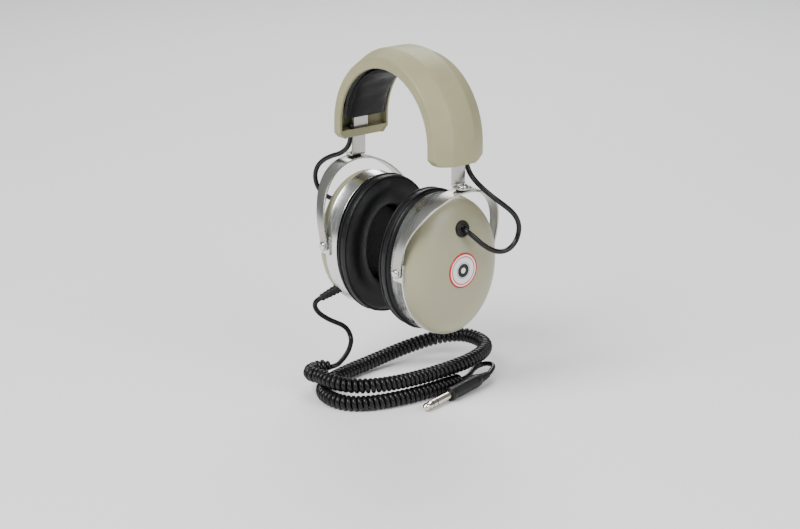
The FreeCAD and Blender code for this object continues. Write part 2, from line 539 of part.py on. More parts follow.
def tube(label, points, radius):
    wire = rounded_path(points, label, 2 * radius)
    ring = Part.Wire(Part.makeCircle(radius, Vector(*points[0]), Vector(*points[1]) - Vector(*points[0])))
    solid = wire.makePipeShell([ring], True, False)
    expected = math.pi * radius ** 2 * wire.Length
    if abs(solid.Volume - expected) > 0.01 * expected:
        raise RuntimeError("%s: volume %.1f, expected %.1f" % (label, solid.Volume, expected))
    item = doc.addObject("Part::Feature", label + "_tube")
    item.Shape = solid
    return named(item, label)


curl = curl_points()
tube("coiled_cord", curl, size("curl_r"))
ROUTES["cord_drop"].append(curl[0])
ROUTES["cord_tail"].insert(0, curl[-1])

# the plug's place: its tip and the way it points, which the end of the tail follows
PLUG_TIP, PLUG_WAY = Vector(52.1, -26.4, -252.4), Vector(0.175, -0.984, -0.044).normalize()
PLUG_LENGTH = size("plug_metal") + size("handle_len") + size("relief_len")
PLUG = Placement(PLUG_TIP, Rotation(Vector(1, 0, 0), -PLUG_WAY))
ROUTES["cord_tail"].append(tuple(PLUG_TIP - PLUG_WAY * PLUG_LENGTH))

for route in ROUTES:
    for label, points in pieces_of(route):
        tube(label, points, size("lead_r") if "lead" in label else size("cord_r"))
CROSSING = {"from": 12, "to": 168, "step": 12, "aside": 13.0}
across = size("spring_r") + size("spring_thick") + size("lead_r") + size("cross_gap")
turns = [math.radians(t) for t in range(CROSSING["from"], CROSSING["to"] + 1, CROSSING["step"])]
tube("crossover_cable", [(across * math.cos(t), CROSSING["aside"] * math.cos(t), across * math.sin(t) - size("pad_r"))
                         for t in turns], size("lead_r"))

# strain relief, where the cord leaves the left cup, and the hole that it needs
RELIEF = {"long": 26.0, "root_r": 4.6, "tip_r": 3.0, "way": (0.536, 0.682, 0.498)}
relief = doc.addObject("Part::Cone", "strain_cone")
relief.Placement = Placement(Vector(*ROUTES["cord_drop"][0]), Rotation(Vector(0, 0, 1), Vector(*RELIEF["way"])))
relief.Radius1, relief.Radius2, relief.Height = RELIEF["tip_r"], RELIEF["root_r"], RELIEF["long"]
named(relief, "strain_relief")
for label in ("left_shell", "left_rim_band"):
    named(cut(label + "_for_cord", parts[label], relief), label)

# ---- plug, lying in front of the curl -----------------------------------------------------------


def turned_piece(label, *profile):
    """Turned about the plug's axis; each pair is a place along it from the tip, and a radius."""
    body = doc.addObject("PartDesign::Body", label + "_body")
    flat = body.newObject("Sketcher::SketchObject", label + "_profile")
    origin = [o for o in body.Origin.OriginFeatures if o.Role == "XY_Plane"][0]
    flat.AttachmentSupport, flat.MapMode = (origin, [""]), "FlatFace"
    draw(flat, [list(profile)])
    turn = body.newObject("PartDesign::Revolution", label + "_turn")
    turn.Profile, turn.ReferenceAxis, turn.Angle = flat, (flat, ["H_Axis"]), 360
    body.Placement = PLUG
    return named(body, label)


def ring_profile(low, high, radius, core="0"):
    return [(low, core), (high, core), (high, radius), (low, radius)]


after_ring = "tip_len + insulator + ring_len"
turned_piece("plug_tip", ("0", "0"), ("tip_len", "0"), ("tip_len", "plug_r"), ("tip_len - 1.6", "plug_r"),
             ("tip_len - 2.6", "plug_r * 0.72"), ("tip_len - 4", "plug_r * 0.72"), ("tip_len - 5", "plug_r * 0.97"),
             ("2.4", "plug_r * 0.8"), ("0.5", "plug_r * 0.28"))
turned_piece("plug_tip_insulator", *ring_profile("tip_len", "tip_len + insulator", "plug_r"))
turned_piece("plug_ring", *ring_profile("tip_len + insulator", after_ring, "plug_r"))
turned_piece("plug_ring_insulator", *ring_profile(after_ring, after_ring + " + insulator", "plug_r"))
turned_piece("plug_sleeve", *ring_profile(after_ring + " + insulator", "plug_metal", "plug_r"))
turned_piece("plug_handle", ("plug_metal", "0"), ("plug_metal + handle_len", "0"),
             ("plug_metal + handle_len", "handle_r * 0.86"), ("plug_metal + handle_len - 4", "handle_r"),
             ("plug_metal + 1", "handle_r"), ("plug_metal", "handle_r - 1"))
turned_piece("plug_relief", ("plug_metal + handle_len", "0"), ("plug_metal + handle_len + relief_len", "0"),
             ("plug_metal + handle_len + relief_len", "cord_r + 0.6"), ("plug_metal + handle_len", "handle_r * 0.76"))

# ---- check and write ----------------------------------------------------------------------------

doc.recompute()
for item in doc.Objects:
    if "Invalid" in item.State or "Error" in item.State:
        raise RuntimeError("%s did not rebuild: %s" % (item.Name, item.State))
os.makedirs("parts", exist_ok=True)
for label, item in parts.items():
    shape = item.Shape
    if shape.isNull() or not shape.isValid() or not shape.Solids:
        raise RuntimeError("%s has no valid solid" % label)
    shape.exportStep(os.path.join("parts", label + ".step"))
    print("%-24s %8.1f mm3, %d solid" % (label, shape.Volume, len(shape.Solids)))
print(len(parts), "pieces")
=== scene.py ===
import bmesh
import bpy
import math
import numpy as np
from mathutils import Matrix, Vector
from mathutils.bvhtree import BVHTree


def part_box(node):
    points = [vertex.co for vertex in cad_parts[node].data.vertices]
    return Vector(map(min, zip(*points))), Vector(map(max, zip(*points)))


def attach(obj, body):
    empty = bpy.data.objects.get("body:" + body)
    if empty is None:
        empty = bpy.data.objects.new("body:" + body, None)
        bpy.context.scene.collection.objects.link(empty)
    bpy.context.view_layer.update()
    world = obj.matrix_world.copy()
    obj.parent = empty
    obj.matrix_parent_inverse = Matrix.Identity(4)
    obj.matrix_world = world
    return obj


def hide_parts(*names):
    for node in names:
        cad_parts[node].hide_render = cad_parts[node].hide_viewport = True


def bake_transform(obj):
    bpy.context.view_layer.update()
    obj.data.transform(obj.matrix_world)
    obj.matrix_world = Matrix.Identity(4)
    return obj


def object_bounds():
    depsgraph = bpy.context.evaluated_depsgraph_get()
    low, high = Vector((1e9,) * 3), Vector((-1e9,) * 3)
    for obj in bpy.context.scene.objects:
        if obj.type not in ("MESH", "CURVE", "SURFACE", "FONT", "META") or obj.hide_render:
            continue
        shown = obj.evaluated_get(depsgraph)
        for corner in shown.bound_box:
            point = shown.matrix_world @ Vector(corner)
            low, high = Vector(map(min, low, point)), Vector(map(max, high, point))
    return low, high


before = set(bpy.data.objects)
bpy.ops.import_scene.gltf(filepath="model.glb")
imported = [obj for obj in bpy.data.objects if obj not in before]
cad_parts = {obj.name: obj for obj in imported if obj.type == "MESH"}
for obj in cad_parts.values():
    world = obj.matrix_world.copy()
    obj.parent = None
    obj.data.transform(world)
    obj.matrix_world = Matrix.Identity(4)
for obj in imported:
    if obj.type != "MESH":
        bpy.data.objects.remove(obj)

# Over-ear headphones with sliding steel yokes and a curly cord.
# Numbers in the dictionaries are millimetres and degrees; meshes are in metres.

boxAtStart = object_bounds()


# mesh helpers

def boxOf(node):
    # a node's lowest and highest corner at rest, to the nearest tenth of a millimetre
    return [np.round(np.array(corner) * 1000, 1).tolist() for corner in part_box(node)]


def middleOf(node):
    # the middle of that box
    return [round((a + b) / 2, 1) for a, b in zip(*boxOf(node))]


def gridFaces(rows, columns, wrapRows):
    # quads between neighbouring points of a grid whose rows are closed rings
    i, j = np.meshgrid(np.arange(rows if wrapRows else rows - 1), np.arange(columns), indexing="ij")
    nextI, nextJ = (i + 1) % rows, (j + 1) % columns
    corners = [i * columns + j, nextI * columns + j, nextI * columns + nextJ, i * columns + nextJ]
    return np.stack(corners, -1).reshape(-1, 4)


def surface(points, wrapRows=False, caps="fan"):
    # a grid of points as vertices and faces, its open ends closed by a fan or by one flat face
    rows, columns = points.shape[:2]
    verts = points.reshape(-1, 3)
    faces = gridFaces(rows, columns, wrapRows).tolist()
    if not wrapRows and caps == "fan":
        ring = np.arange(columns)
        for row in (0, rows - 1):
            verts = np.vstack([verts, points[row].mean(0)])
            hub = np.full(columns, len(verts) - 1)
            faces += np.stack([row * columns + ring, row * columns + (ring + 1) % columns, hub], 1).tolist()
    if not wrapRows and caps == "flat":
        faces += [list(range(columns)), list(range((rows - 1) * columns, rows * columns))]
    return verts, faces


def build(name, surfaces, sharpAngle=38):
    # joins the surfaces into one object, with doubles merged and every face turned outwards
    verts, faces = np.zeros((0, 3)), []
    for points, quads in surfaces:
        faces += [[index + len(verts) for index in face] for face in quads]
        verts = np.vstack([verts, points])
    mesh = bpy.data.meshes.new(name)
    mesh.from_pydata((verts / 1000).tolist(), [], faces)
    work = bmesh.new()
    work.from_mesh(mesh)
    bmesh.ops.remove_doubles(work, verts=work.verts, dist=2e-6)
    bmesh.ops.recalc_face_normals(work, faces=work.faces)
    work.to_mesh(mesh)
    work.free()
    mesh.shade_smooth()
    mesh.set_sharp_from_angle(angle=math.radians(sharpAngle))
    piece = bpy.data.objects.new(name, mesh)
    bpy.context.scene.collection.objects.link(piece)
    return piece


def fit(piece, material, body=None, stands=()):
    piece.data.materials.clear()
    piece.data.materials.append(material)
    if body:
        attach(piece, body)
    if stands:
        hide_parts(*stands)
    return piece


def unit(vectors):
    return vectors / np.linalg.norm(vectors, axis=-1, keepdims=True)


def sidewaysOf(path):
    # a direction across the path at each point, carried along it without twist
    along = unit(np.gradient(path, axis=0))
    start = np.cross(along[0], (0, 0, 1) if abs(along[0][2]) < 0.9 else (1, 0, 0))
    across = [start / np.linalg.norm(start)]
    for step in along[1:]:
        moved = across[-1] - step * (across[-1] @ step)
        across.append(moved / np.linalg.norm(moved))
    return along, np.array(across)


def ringOf(across, third, sides):
    # a unit circle for each pair of directions
    turn = np.linspace(0, 2 * np.pi, sides, endpoint=False)
    return np.cos(turn)[None, :, None] * across[:, None] + np.sin(turn)[None, :, None] * third[:, None]


def tubeGrid(path, radius, sides=16, across=None):
    # a circle carried along the path
    along = unit(np.gradient(path, axis=0))
    if across is None:
        along, across = sidewaysOf(path)
    across = unit(across - along * np.sum(across * along, 1, keepdims=True))
    return path[:, None] + ringOf(across, np.cross(along, across), sides) * radius


def hoopGrid(path, radius, sides=10):
    # a circle carried round a closed path that lies near one plane
    along = unit(np.roll(path, -1, 0) - np.roll(path, 1, 0))
    outward = unit(path - path.mean(0))
    across = unit(outward - along * np.sum(outward * along, 1, keepdims=True))
    return path[:, None] + ringOf(across, np.cross(along, across), sides) * radius


def turnedGrid(profile, origin, axis, sides=48):
    # a profile of (distance along the axis, radius) turned about that axis
    axis = unit(np.array(axis, float))
    first = unit(np.cross(axis, (0, 0, 1) if abs(axis[2]) < 0.9 else (0, 1, 0)))
    profile = np.array(profile, float)
    ring = ringOf(first[None], np.cross(axis, first)[None], sides)
    return np.array(origin, float) + profile[:, 0, None, None] * axis + profile[:, 1, None, None] * ring


def roundedOutline(corners, cuts, steps=5):
    # each corner of a closed outline becomes a quadratic curve that starts and ends its cut away
    corners = np.array(corners, float)
    before, after = np.roll(corners, 1, 0) - corners, np.roll(corners, -1, 0) - corners
    cuts = np.array(cuts, float)[:, None]
    start, end = corners + unit(before) * cuts, corners + unit(after) * cuts
    t = np.linspace(0, 1, steps)[None, :, None]
    bend = start[:, None] * (1 - t) ** 2 + corners[:, None] * 2 * t * (1 - t) + end[:, None] * t ** 2
    return bend.reshape(-1, 2), np.repeat(np.arange(len(corners)), steps)


def resampled(path, count):
    # the same line with evenly spaced points
    lengths = np.r_[0, np.cumsum(np.linalg.norm(np.diff(path, axis=0), axis=1))]
    at = np.linspace(0, lengths[-1], count)
    return np.stack([np.interp(at, lengths, path[:, k]) for k in range(3)], 1)


def lengthOf(path):
    return float(np.linalg.norm(np.diff(path, axis=0), axis=1).sum())


# camera

view = {"place": (1036.6, -862.6, 287.0), "around": 50.46, "above": 18.11, "lens": 81.2, "sensor": 36.0}


def makeCamera():
    around, above = math.radians(view["around"]), math.radians(view["above"])
    back = Vector((math.sin(around) * math.cos(above), -math.cos(around) * math.cos(above), math.sin(above)))
    right = Vector((math.cos(around), math.sin(around), 0))
    turn = Matrix((right, back.cross(right), back)).transposed()
    camera = bpy.data.objects.new("camera", bpy.data.cameras.new("camera"))
    camera.data.lens, camera.data.sensor_width = view["lens"], view["sensor"]
    camera.data.clip_end = 20
    camera.matrix_world = Matrix.Translation(Vector(view["place"]) / 1000) @ turn.to_4x4()
    bpy.context.scene.collection.objects.link(camera)
    bpy.context.scene.camera = camera


makeCamera()
print("camera placed")


# materials

def newFinish(name, colour, roughness, metal=0.0, coat=0.0, sheen=0.0, gloss=0.5):
    material = bpy.data.materials.new(name)
    material.use_nodes = True
    tree = material.node_tree
    shader = tree.nodes["Principled BSDF"]
    shader.inputs["Base Color"].default_value = (*colour, 1)
    shader.inputs["Roughness"].default_value = roughness
    shader.inputs["Metallic"].default_value = metal
    shader.inputs["Coat Weight"].default_value = coat
    shader.inputs["Specular IOR Level"].default_value = gloss
    shader.inputs["Sheen Weight"].default_value = sheen
    return material, tree, shader


def objectCoords(tree, stretch=(1, 1, 1)):
    coords = tree.nodes.new("ShaderNodeTexCoord")
    mapping = tree.nodes.new("ShaderNodeMapping")
    mapping.inputs["Scale"].default_value = stretch
    tree.links.new(coords.outputs["Object"], mapping.inputs["Vector"])
    return mapping.outputs["Vector"]


def noise(tree, vector, scale, detail=4.0, rough=0.55):
    node = tree.nodes.new("ShaderNodeTexNoise")
    node.inputs["Scale"].default_value = scale
    node.inputs["Detail"].default_value = detail
    node.inputs["Roughness"].default_value = rough
    tree.links.new(vector, node.inputs["Vector"])
    return node.outputs["Fac"]


def cells(tree, vector, scale, feature="DISTANCE_TO_EDGE"):
    node = tree.nodes.new("ShaderNodeTexVoronoi")
    node.feature = feature
    node.inputs["Scale"].default_value = scale
    tree.links.new(vector, node.inputs["Vector"])
    return node.outputs["Distance"]


def ranged(tree, value, low, high, fromLow=0.3, fromHigh=0.7):
    node = tree.nodes.new("ShaderNodeMapRange")
    for name, number in (("From Min", fromLow), ("From Max", fromHigh), ("To Min", low), ("To Max", high)):
        node.inputs[name].default_value = number
    tree.links.new(value, node.inputs["Value"])
    return node.outputs["Result"]


def blended(tree, value, first, second, fromLow=0.3, fromHigh=0.7):
    node = tree.nodes.new("ShaderNodeMix")
    node.data_type = "RGBA"
    node.inputs["A"].default_value = (*first, 1)
    node.inputs["B"].default_value = (*second, 1)
    tree.links.new(ranged(tree, value, 0, 1, fromLow, fromHigh), node.inputs["Factor"])
    return node.outputs["Result"]


def bumped(tree, height, distance, strength=1.0, under=None):
    node = tree.nodes.new("ShaderNodeBump")
    node.inputs["Distance"].default_value = distance / 1000
    node.inputs["Strength"].default_value = strength
    tree.links.new(height, node.inputs["Height"])
    if under is not None:
        tree.links.new(under, node.inputs["Normal"])
    return node.outputs["Normal"]


def vinylFinish(name, colour, shade, roughness, grain=0.05, wrinkle=0.0, gloss=0.5):
    # pebbled vinyl: small cells, cloudy colour, and broad creases where it is soft
    material, tree, shader = newFinish(name, colour, roughness, gloss=gloss)
    vector = objectCoords(tree)
    tree.links.new(blended(tree, noise(tree, vector, 45), colour, shade), shader.inputs["Base Color"])
    tree.links.new(ranged(tree, noise(tree, vector, 160), roughness - 0.06, roughness + 0.08),
                   shader.inputs["Roughness"])
    normal = bumped(tree, ranged(tree, cells(tree, vector, 1100), 0, 1, 0, 0.25), grain, 0.7)
    normal = bumped(tree, noise(tree, vector, 320), grain * 1.6, 0.5, normal)
    if wrinkle:
        normal = bumped(tree, noise(tree, vector, 75, 3), wrinkle, 0.8, normal)
    tree.links.new(normal, shader.inputs["Normal"])
    return material


def paintFinish(name, colour, shade, roughness=0.36):
    # enamel over pressed metal: a faint orange peel and slight cloudiness
    material, tree, shader = newFinish(name, colour, roughness, coat=0.25)
    shader.inputs["Coat Roughness"].default_value = 0.25
    vector = objectCoords(tree)
    tree.links.new(blended(tree, noise(tree, vector, 14, 6), colour, shade), shader.inputs["Base Color"])
    tree.links.new(ranged(tree, noise(tree, vector, 90), roughness - 0.05, roughness + 0.07),
                   shader.inputs["Roughness"])
    tree.links.new(bumped(tree, noise(tree, vector, 750, 2), 0.008, 0.5), shader.inputs["Normal"])
    return material


def brushedFinish(name, colour, roughness, stretch, depth=0.012, crinkle=0.0):
    # steel with fine lines along one direction; crinkle adds the dents of a thin strip
    material, tree, shader = newFinish(name, colour, roughness, metal=1.0)
    lines = noise(tree, objectCoords(tree, stretch), 1.0, 5, 0.7)
    dull = tuple(0.82 * part for part in colour)
    tree.links.new(blended(tree, lines, dull, colour, 0.35, 0.65), shader.inputs["Base Color"])
    tree.links.new(ranged(tree, lines, roughness - 0.07, roughness + 0.1), shader.inputs["Roughness"])
    normal = bumped(tree, lines, depth, 0.8)
    if crinkle:
        vector = objectCoords(tree)
        normal = bumped(tree, noise(tree, vector, 210, 5, 0.65), crinkle, 0.9, normal)
        normal = bumped(tree, noise(tree, vector, 38, 2), crinkle * 4, 0.7, normal)
    tree.links.new(normal, shader.inputs["Normal"])
    return material


def polishedFinish(name, colour, roughness=0.16):
    # plated metal with small dull spots
    material, tree, shader = newFinish(name, colour, roughness, metal=1.0)
    vector = objectCoords(tree)
    stain = tuple(0.8 * part for part in colour)
    tree.links.new(blended(tree, noise(tree, vector, 240), stain, colour), shader.inputs["Base Color"])
    tree.links.new(ranged(tree, noise(tree, vector, 500), roughness - 0.06, roughness + 0.12),
                   shader.inputs["Roughness"])
    tree.links.new(bumped(tree, noise(tree, vector, 900), 0.01, 0.6), shader.inputs["Normal"])
    return material


def mouldedFinish(name, colour, roughness, texture=600, depth=0.03):
    # moulded plastic and rubber: fine spark texture and rubbed patches
    material, tree, shader = newFinish(name, colour, roughness, gloss=0.32)
    vector = objectCoords(tree)
    light = tuple(min(1.0, 1.5 * part + 0.002) for part in colour)
    tree.links.new(blended(tree, noise(tree, vector, 60), colour, light), shader.inputs["Base Color"])
    tree.links.new(ranged(tree, noise(tree, vector, 130), roughness - 0.08, roughness + 0.08),
                   shader.inputs["Roughness"])
    tree.links.new(bumped(tree, noise(tree, vector, texture, 3), depth, 0.7), shader.inputs["Normal"])
    return material


def foamFinish(name, colour):
    # open-cell foam: deep rounded pits, with painted shade that makes the colour darker down in each pit and
    # lighter on the ridges between them
    material, tree, shader = newFinish(name, colour, 0.95)
    vector = objectCoords(tree)
    pitsAndPaintedShade = cells(tree, vector, 900, "F1")
    # painted shade: the pit depth darkens the colour in the hollows and lightens it on the rims
    tree.links.new(blended(tree, pitsAndPaintedShade, colour, tuple(3 * part for part in colour), 0.1, 0.6),
                   shader.inputs["Base Color"])
    tree.links.new(bumped(tree, pitsAndPaintedShade, 0.35, 0.9), shader.inputs["Normal"])
    return material


def feltFinish(name, colour):
    # matted fibres: fine rough noise in colour and height
    material, tree, shader = newFinish(name, colour, 0.97, sheen=0.4)
    fibres = noise(tree, objectCoords(tree), 1500, 6, 0.8)
    light = tuple(2 * part for part in colour)
    tree.links.new(blended(tree, fibres, colour, light), shader.inputs["Base Color"])
    tree.links.new(bumped(tree, fibres, 0.12, 0.9), shader.inputs["Normal"])
    return material


def badgeFinish(name, centre, rings):
    # spun disc: rings are (outer radius, colour), measured from the badge's own centre
    material, tree, shader = newFinish(name, rings[0][1], 0.28, metal=0.35)
    coords = tree.nodes.new("ShaderNodeTexCoord")
    offset = tree.nodes.new("ShaderNodeMapping")
    offset.inputs["Location"].default_value = [-part / 1000 for part in centre]
    offset.inputs["Scale"].default_value = (0, 1, 1)
    distance = tree.nodes.new("ShaderNodeVectorMath")
    distance.operation = "LENGTH"
    ramp = tree.nodes.new("ShaderNodeValToRGB")
    ramp.color_ramp.interpolation = "CONSTANT"
    scale = tree.nodes.new("ShaderNodeMath")
    scale.operation = "MULTIPLY"
    scale.inputs[1].default_value = 1000 / rings[-1][0]
    stops = ramp.color_ramp.elements
    edges = [0.0] + [outer / rings[-1][0] for outer, colour in rings[:-1]]
    for index, (edge, (outer, colour)) in enumerate(zip(edges, rings)):
        stop = stops[index] if index < 2 else stops.new(edge)
        stop.position, stop.color = edge, (*colour, 1)
    turned = tree.nodes.new("ShaderNodeMath")
    turned.operation = "SINE"
    lines = tree.nodes.new("ShaderNodeMath")
    lines.operation = "MULTIPLY"
    lines.inputs[1].default_value = 9000
    tree.links.new(coords.outputs["Object"], offset.inputs["Vector"])
    tree.links.new(offset.outputs["Vector"], distance.inputs[0])
    tree.links.new(distance.outputs["Value"], scale.inputs[0])
    tree.links.new(scale.outputs["Value"], ramp.inputs["Fac"])
    tree.links.new(ramp.outputs["Color"], shader.inputs["Base Color"])
    tree.links.new(distance.outputs["Value"], lines.inputs[0])
    tree.links.new(lines.outputs["Value"], turned.inputs[0])
    tree.links.new(bumped(tree, turned.outputs["Value"], 0.006, 0.5), shader.inputs["Normal"])
    return material


colours = {
    "beige": (0.33, 0.31, 0.175), "beigeShade": (0.29, 0.275, 0.155),
    "shell": (0.33, 0.31, 0.2), "shellShade": (0.305, 0.29, 0.185),
    "black": (0.0045, 0.0045, 0.005), "blackShade": (0.009, 0.009, 0.01),
    "steel": (0.55, 0.54, 0.505), "rim": (0.78, 0.79, 0.77), "nickel": (0.78, 0.72, 0.62),
    "red": (0.52, 0.012, 0.012), "silver": (0.74, 0.74, 0.73), "bright": (0.78, 0.78, 0.76),
    "magnet": (0.2, 0.2, 0.21), "magnetShade": (0.26, 0.26, 0.27), "film": (0.36, 0.31, 0.2),
    "foam": (0.012, 0.012, 0.013), "felt": (0.06, 0.06, 0.06),
}
vinyl = vinylFinish("coverVinyl", colours["beige"], colours["beigeShade"], 0.5, grain=0.03)
padVinyl = vinylFinish("padVinyl", colours["black"], colours["blackShade"], 0.46, wrinkle=0.25, gloss=0.2)
cushionVinyl = vinylFinish("cushionVinyl", colours["black"], colours["blackShade"], 0.36,
                           wrinkle=0.35, gloss=0.28)
shellPaint = paintFinish("shellPaint", colours["shell"], colours["shellShade"])
yokeSteel = brushedFinish("yokeSteel", colours["steel"], 0.3, (2600, 40, 40))
stripSteel = brushedFinish("stripSteel", colours["steel"], 0.3, (40, 2600, 40))
rimSteel = brushedFinish("rimSteel", colours["rim"], 0.2, (1800, 60, 60), crinkle=0.022)
brightSteel = polishedFinish("brightSteel", colours["bright"])
nickel = polishedFinish("plugNickel", colours["nickel"], 0.14)
cable = mouldedFinish("cableJacket", colours["black"], 0.27, 900, 0.01)
rubber = mouldedFinish("softRubber", colours["black"], 0.5)
plastic = mouldedFinish("blackPlastic", colours["black"], 0.38)
magnetPaint = paintFinish("magnetPaint", colours["magnet"], colours["magnetShade"])
film = mouldedFinish("diaphragmFilm", colours["film"], 0.3, 300, 0.1)
foam = foamFinish("dustFoam", colours["foam"])
felt = feltFinish("linerFelt", colours["felt"])
print("finishes made:", len(bpy.data.materials))


# cords: each route is the control points of one smooth curve, and each split is where a cord
# passes from one body to the next

routes = {
    "rightLead": [(57.5, 9.6, -50), (57.6, 9.6, -57.5), (59.5, 9.6, -65), (64.3, 10, -70.8),
                  (70.2, 11.6, -75.9), (75.4, 14.8, -80.9), (79.1, 19.6, -85.9), (81.5, 25.5, -91),
                  (83.2, 31.5, -96), (84.3, 37, -102),
                  (84.6, 40.3, -109), (84.6, 40.1, -116.5), (84.3, 36.8, -123.3), (83.6, 30.3, -127.8),
                  (82.2, 22.6, -128.2), (80.3, 15.5, -125.2), (77.8, 9.3, -120.5), (74.8, 4.6, -115.2),
                  (71.4, 1.5, -111.4), (67, 0.2, -109.6), (62, 0, -110)],
    "leftLead": [(-57.5, -9.6, -50), (-57.6, -9.6, -57.5), (-59.2, -9.6, -65.8), (-64.2, -10, -72.4),
                 (-71.2, -11.5, -76.8), (-78.2, -13.5, -79.4), (-84.6, -15.8, -83), (-89.8, -18, -88.2),
                 (-92.8, -19, -94.7), (-93.3, -18.6, -102.5), (-91.6, -16.3, -109.8), (-87.4, -12.5, -115.2),
                 (-81.5, -8, -117.4), (-75.6, -4, -115.5), (-70.8, -1.3, -111.8), (-66.6, -0.2, -109.6),
                 (-62, 0, -110)],
    "cordDrop": [(-57, -41.9, -187.8), (-59.3, -44.8, -190), (-60.9, -45.6, -194), (-61.2, -43.9, -198.3),
                 (-60.8, -40.8, -202.3), (-59.9, -36.6, -206), (-58.8, -31.6, -209.5), (-57.6, -26.2, -212.6),
                 (-56.4, -21, -215.6), (-55, -17.2, -219.4), (-53, -15.8, -224), (-50.2, -16.8, -227.8),
                 (-46.6, -20.6, -230.6), (-42.8, -25.8, -233.2), (-39.6, -31.6, -235.4), (-37, -37.6, -237.2),
                 (-35, -43, -238.6), (-36.5, -47.5, -239.3)],
    "cordTail": [(27.8, 41.5, -250.4), (24.2, 47.5, -250.2), (20.8, 53.5, -249.3), (19.8, 60, -247.8),
                 (23.3, 65.4, -246.3), (29.5, 66.6, -245.8), (34.5, 62.5, -247)],
}
splits = {"rightLead": [(80.3, 22.55, -88.45)], "leftLead": [(-74.7, -12.5, -78.1)],
          "cordDrop": [(-58.6, -30.8, -209.9), (-48, -19.1, -229.5)]}
curl = {"first": [(-36.5, -47.5, -239.3), (-41.2, -52, -239.6), (-43.2, -58, -240), (-41.7, -64.3, -240),
                  (-36.8, -68.5, -239.6), (-30.5, -70.3, -238.8)],
        "start": -101.0, "end": 379.0, "step": 16.0, "square": 2.5, "centreX": (-15.0, -3.0),
        "centreY": (6.4, 6.1), "wide": (43.0, 33.8), "tall": (75.6, 79.4), "upper": 18.4, "lower": 6.1,
        "fall": (100.0, 205.0), "ground": round(boxAtStart[0][2] * 1000, 1), "wireR": 1.95,
        "outerR": 6.08, "pitch": 4.14, "perTurn": 20, "sides": 10, "uneven": 0.2, "waves": 5, "closeIn": 1.2}
cordSizes = {"leadR": 1.95, "cordR": 2.0, "sides": 16, "shortest": 30.0}


def curlPoints():
    # a squared oval that changes size as it winds, its first turn on top of the second
    angle = np.arange(curl["start"], curl["end"] + 1, curl["step"])
    share = np.linspace(0, 1, len(angle))
    x, y, wide, tall = [curl[name][0] + (curl[name][1] - curl[name][0]) * share
                        for name in ("centreX", "centreY", "wide", "tall")]
    c, s = np.cos(np.radians(angle)), np.sin(np.radians(angle))
    stretch = (abs(c) ** curl["square"] + abs(s) ** curl["square"]) ** (-1 / curl["square"])
    fall = np.clip((angle - curl["fall"][0]) / (curl["fall"][1] - curl["fall"][0]), 0, 1)
    z = curl["ground"] + curl["upper"] - (curl["upper"] - curl["lower"]) * (1 - np.cos(np.pi * fall)) / 2
    return np.vstack([curl["first"], np.stack([x + wide * c * stretch, y + tall * s * stretch, z], 1)])


def smoothPath(points, steps=10):
    # the points are the control points of one open NURBS spline; its line comes back as points
    data = bpy.data.curves.new("route", "CURVE")
    data.dimensions = "3D"
    spline = data.splines.new("NURBS")
    spline.points.add(len(points) - 1)
    spline.points.foreach_set("co", np.c_[np.array(points, float) / 1000, np.ones(len(points))].ravel())
    spline.order_u, spline.use_endpoint_u, spline.resolution_u = 3, True, steps
    holder = bpy.data.objects.new("route", data)
    line = bpy.data.meshes.new_from_object(holder)
    path = np.zeros(len(line.vertices) * 3)
    line.vertices.foreach_get("co", path)
    bpy.data.objects.remove(holder)
    bpy.data.curves.remove(data)
    bpy.data.meshes.remove(line)
    return path.reshape(-1, 3) * 1000


def partedAt(path, cuts):
    # the path in pieces that share their end points, cut where it passes nearest to each point
    nearest = [int(np.argmin(np.linalg.norm(path - np.array(cut), axis=1))) for cut in cuts]
    at = [0] + nearest + [len(path) - 1]
    return [path[first:last + 1] for first, last in zip(at, at[1:])]


def makeCord(name, path, radius, stands, body=None, bodies=None):
    # a circle carried along the path
    piece = build(name, [surface(tubeGrid(path, radius, cordSizes["sides"]))])
    fit(piece, cable, body, stands)
    if bodies:
        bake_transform(piece)


def makeLead(side):
    upper, lower = partedAt(smoothPath(routes[side + "Lead"]), splits[side + "Lead"])
    makeCord(side + "LeadUpper", upper, cordSizes["leadR"], (side + "_lead_upper",),
             bodies=(side + "_slide", side + "_fork"))
    makeCord(side + "LeadLower", lower, cordSizes["leadR"], (side + "_lead_lower",),
             bodies=(side + "_fork", side + "_cup"))


def makeDrop():
    upper, middle, lower = partedAt(smoothPath(routes["cordDrop"]), splits["cordDrop"])
    makeCord("cordDropUpper", upper, cordSizes["cordR"], ("cord_drop_upper",),
             bodies=("left_cup", "left_fork"))
    makeCord("cordDropMiddle", middle, cordSizes["cordR"], ("cord_drop_middle",),
             bodies=("left_fork", "left_slide"))
    makeCord("cordDropLower", lower, cordSizes["cordR"], ("cord_drop_lower",),
             bodies=("left_slide", "headband"))


def makeCurl():
    # the helix winds round the spline's line; at both ends it closes in to meet the plain cord
    line = smoothPath(curlPoints(), 24)
    length = lengthOf(line)
    turns = round(length / curl["pitch"])
    path = resampled(line, turns * curl["perTurn"] + 1)
    along, across = sidewaysOf(path)
    third = np.cross(along, across)
    share = np.linspace(0, 1, len(path))
    drift = curl["uneven"] * np.sin(2 * np.pi * curl["waves"] * share)
    angle = 2 * np.pi * (turns * share + drift)[:, None]
    fromEnd = np.clip(np.minimum(share, 1 - share) * turns / curl["closeIn"], 0, 1)
    reach = (curl["outerR"] - curl["wireR"]) * (fromEnd * fromEnd * (3 - 2 * fromEnd))[:, None]
    outward = np.cos(angle) * across + np.sin(angle) * third
    wire = path + outward * reach
    piece = build("coiledCord", [surface(tubeGrid(wire, curl["wireR"], curl["sides"], outward))])
    fit(piece, cable, "headband", ("coiled_cord",))
    print("curly cord:", turns, "turns,", round(lengthOf(wire)), "mm of wire along", round(length), "mm")


# strain relief and plug

relief = {"tip": (-57, -41.9, -187.8), "way": (0.536, 0.682, 0.498), "long": 26.0, "tipR": 3.0, "rootR": 4.6,
          "rib": 3.2, "groove": 0.4, "edge": 0.6}
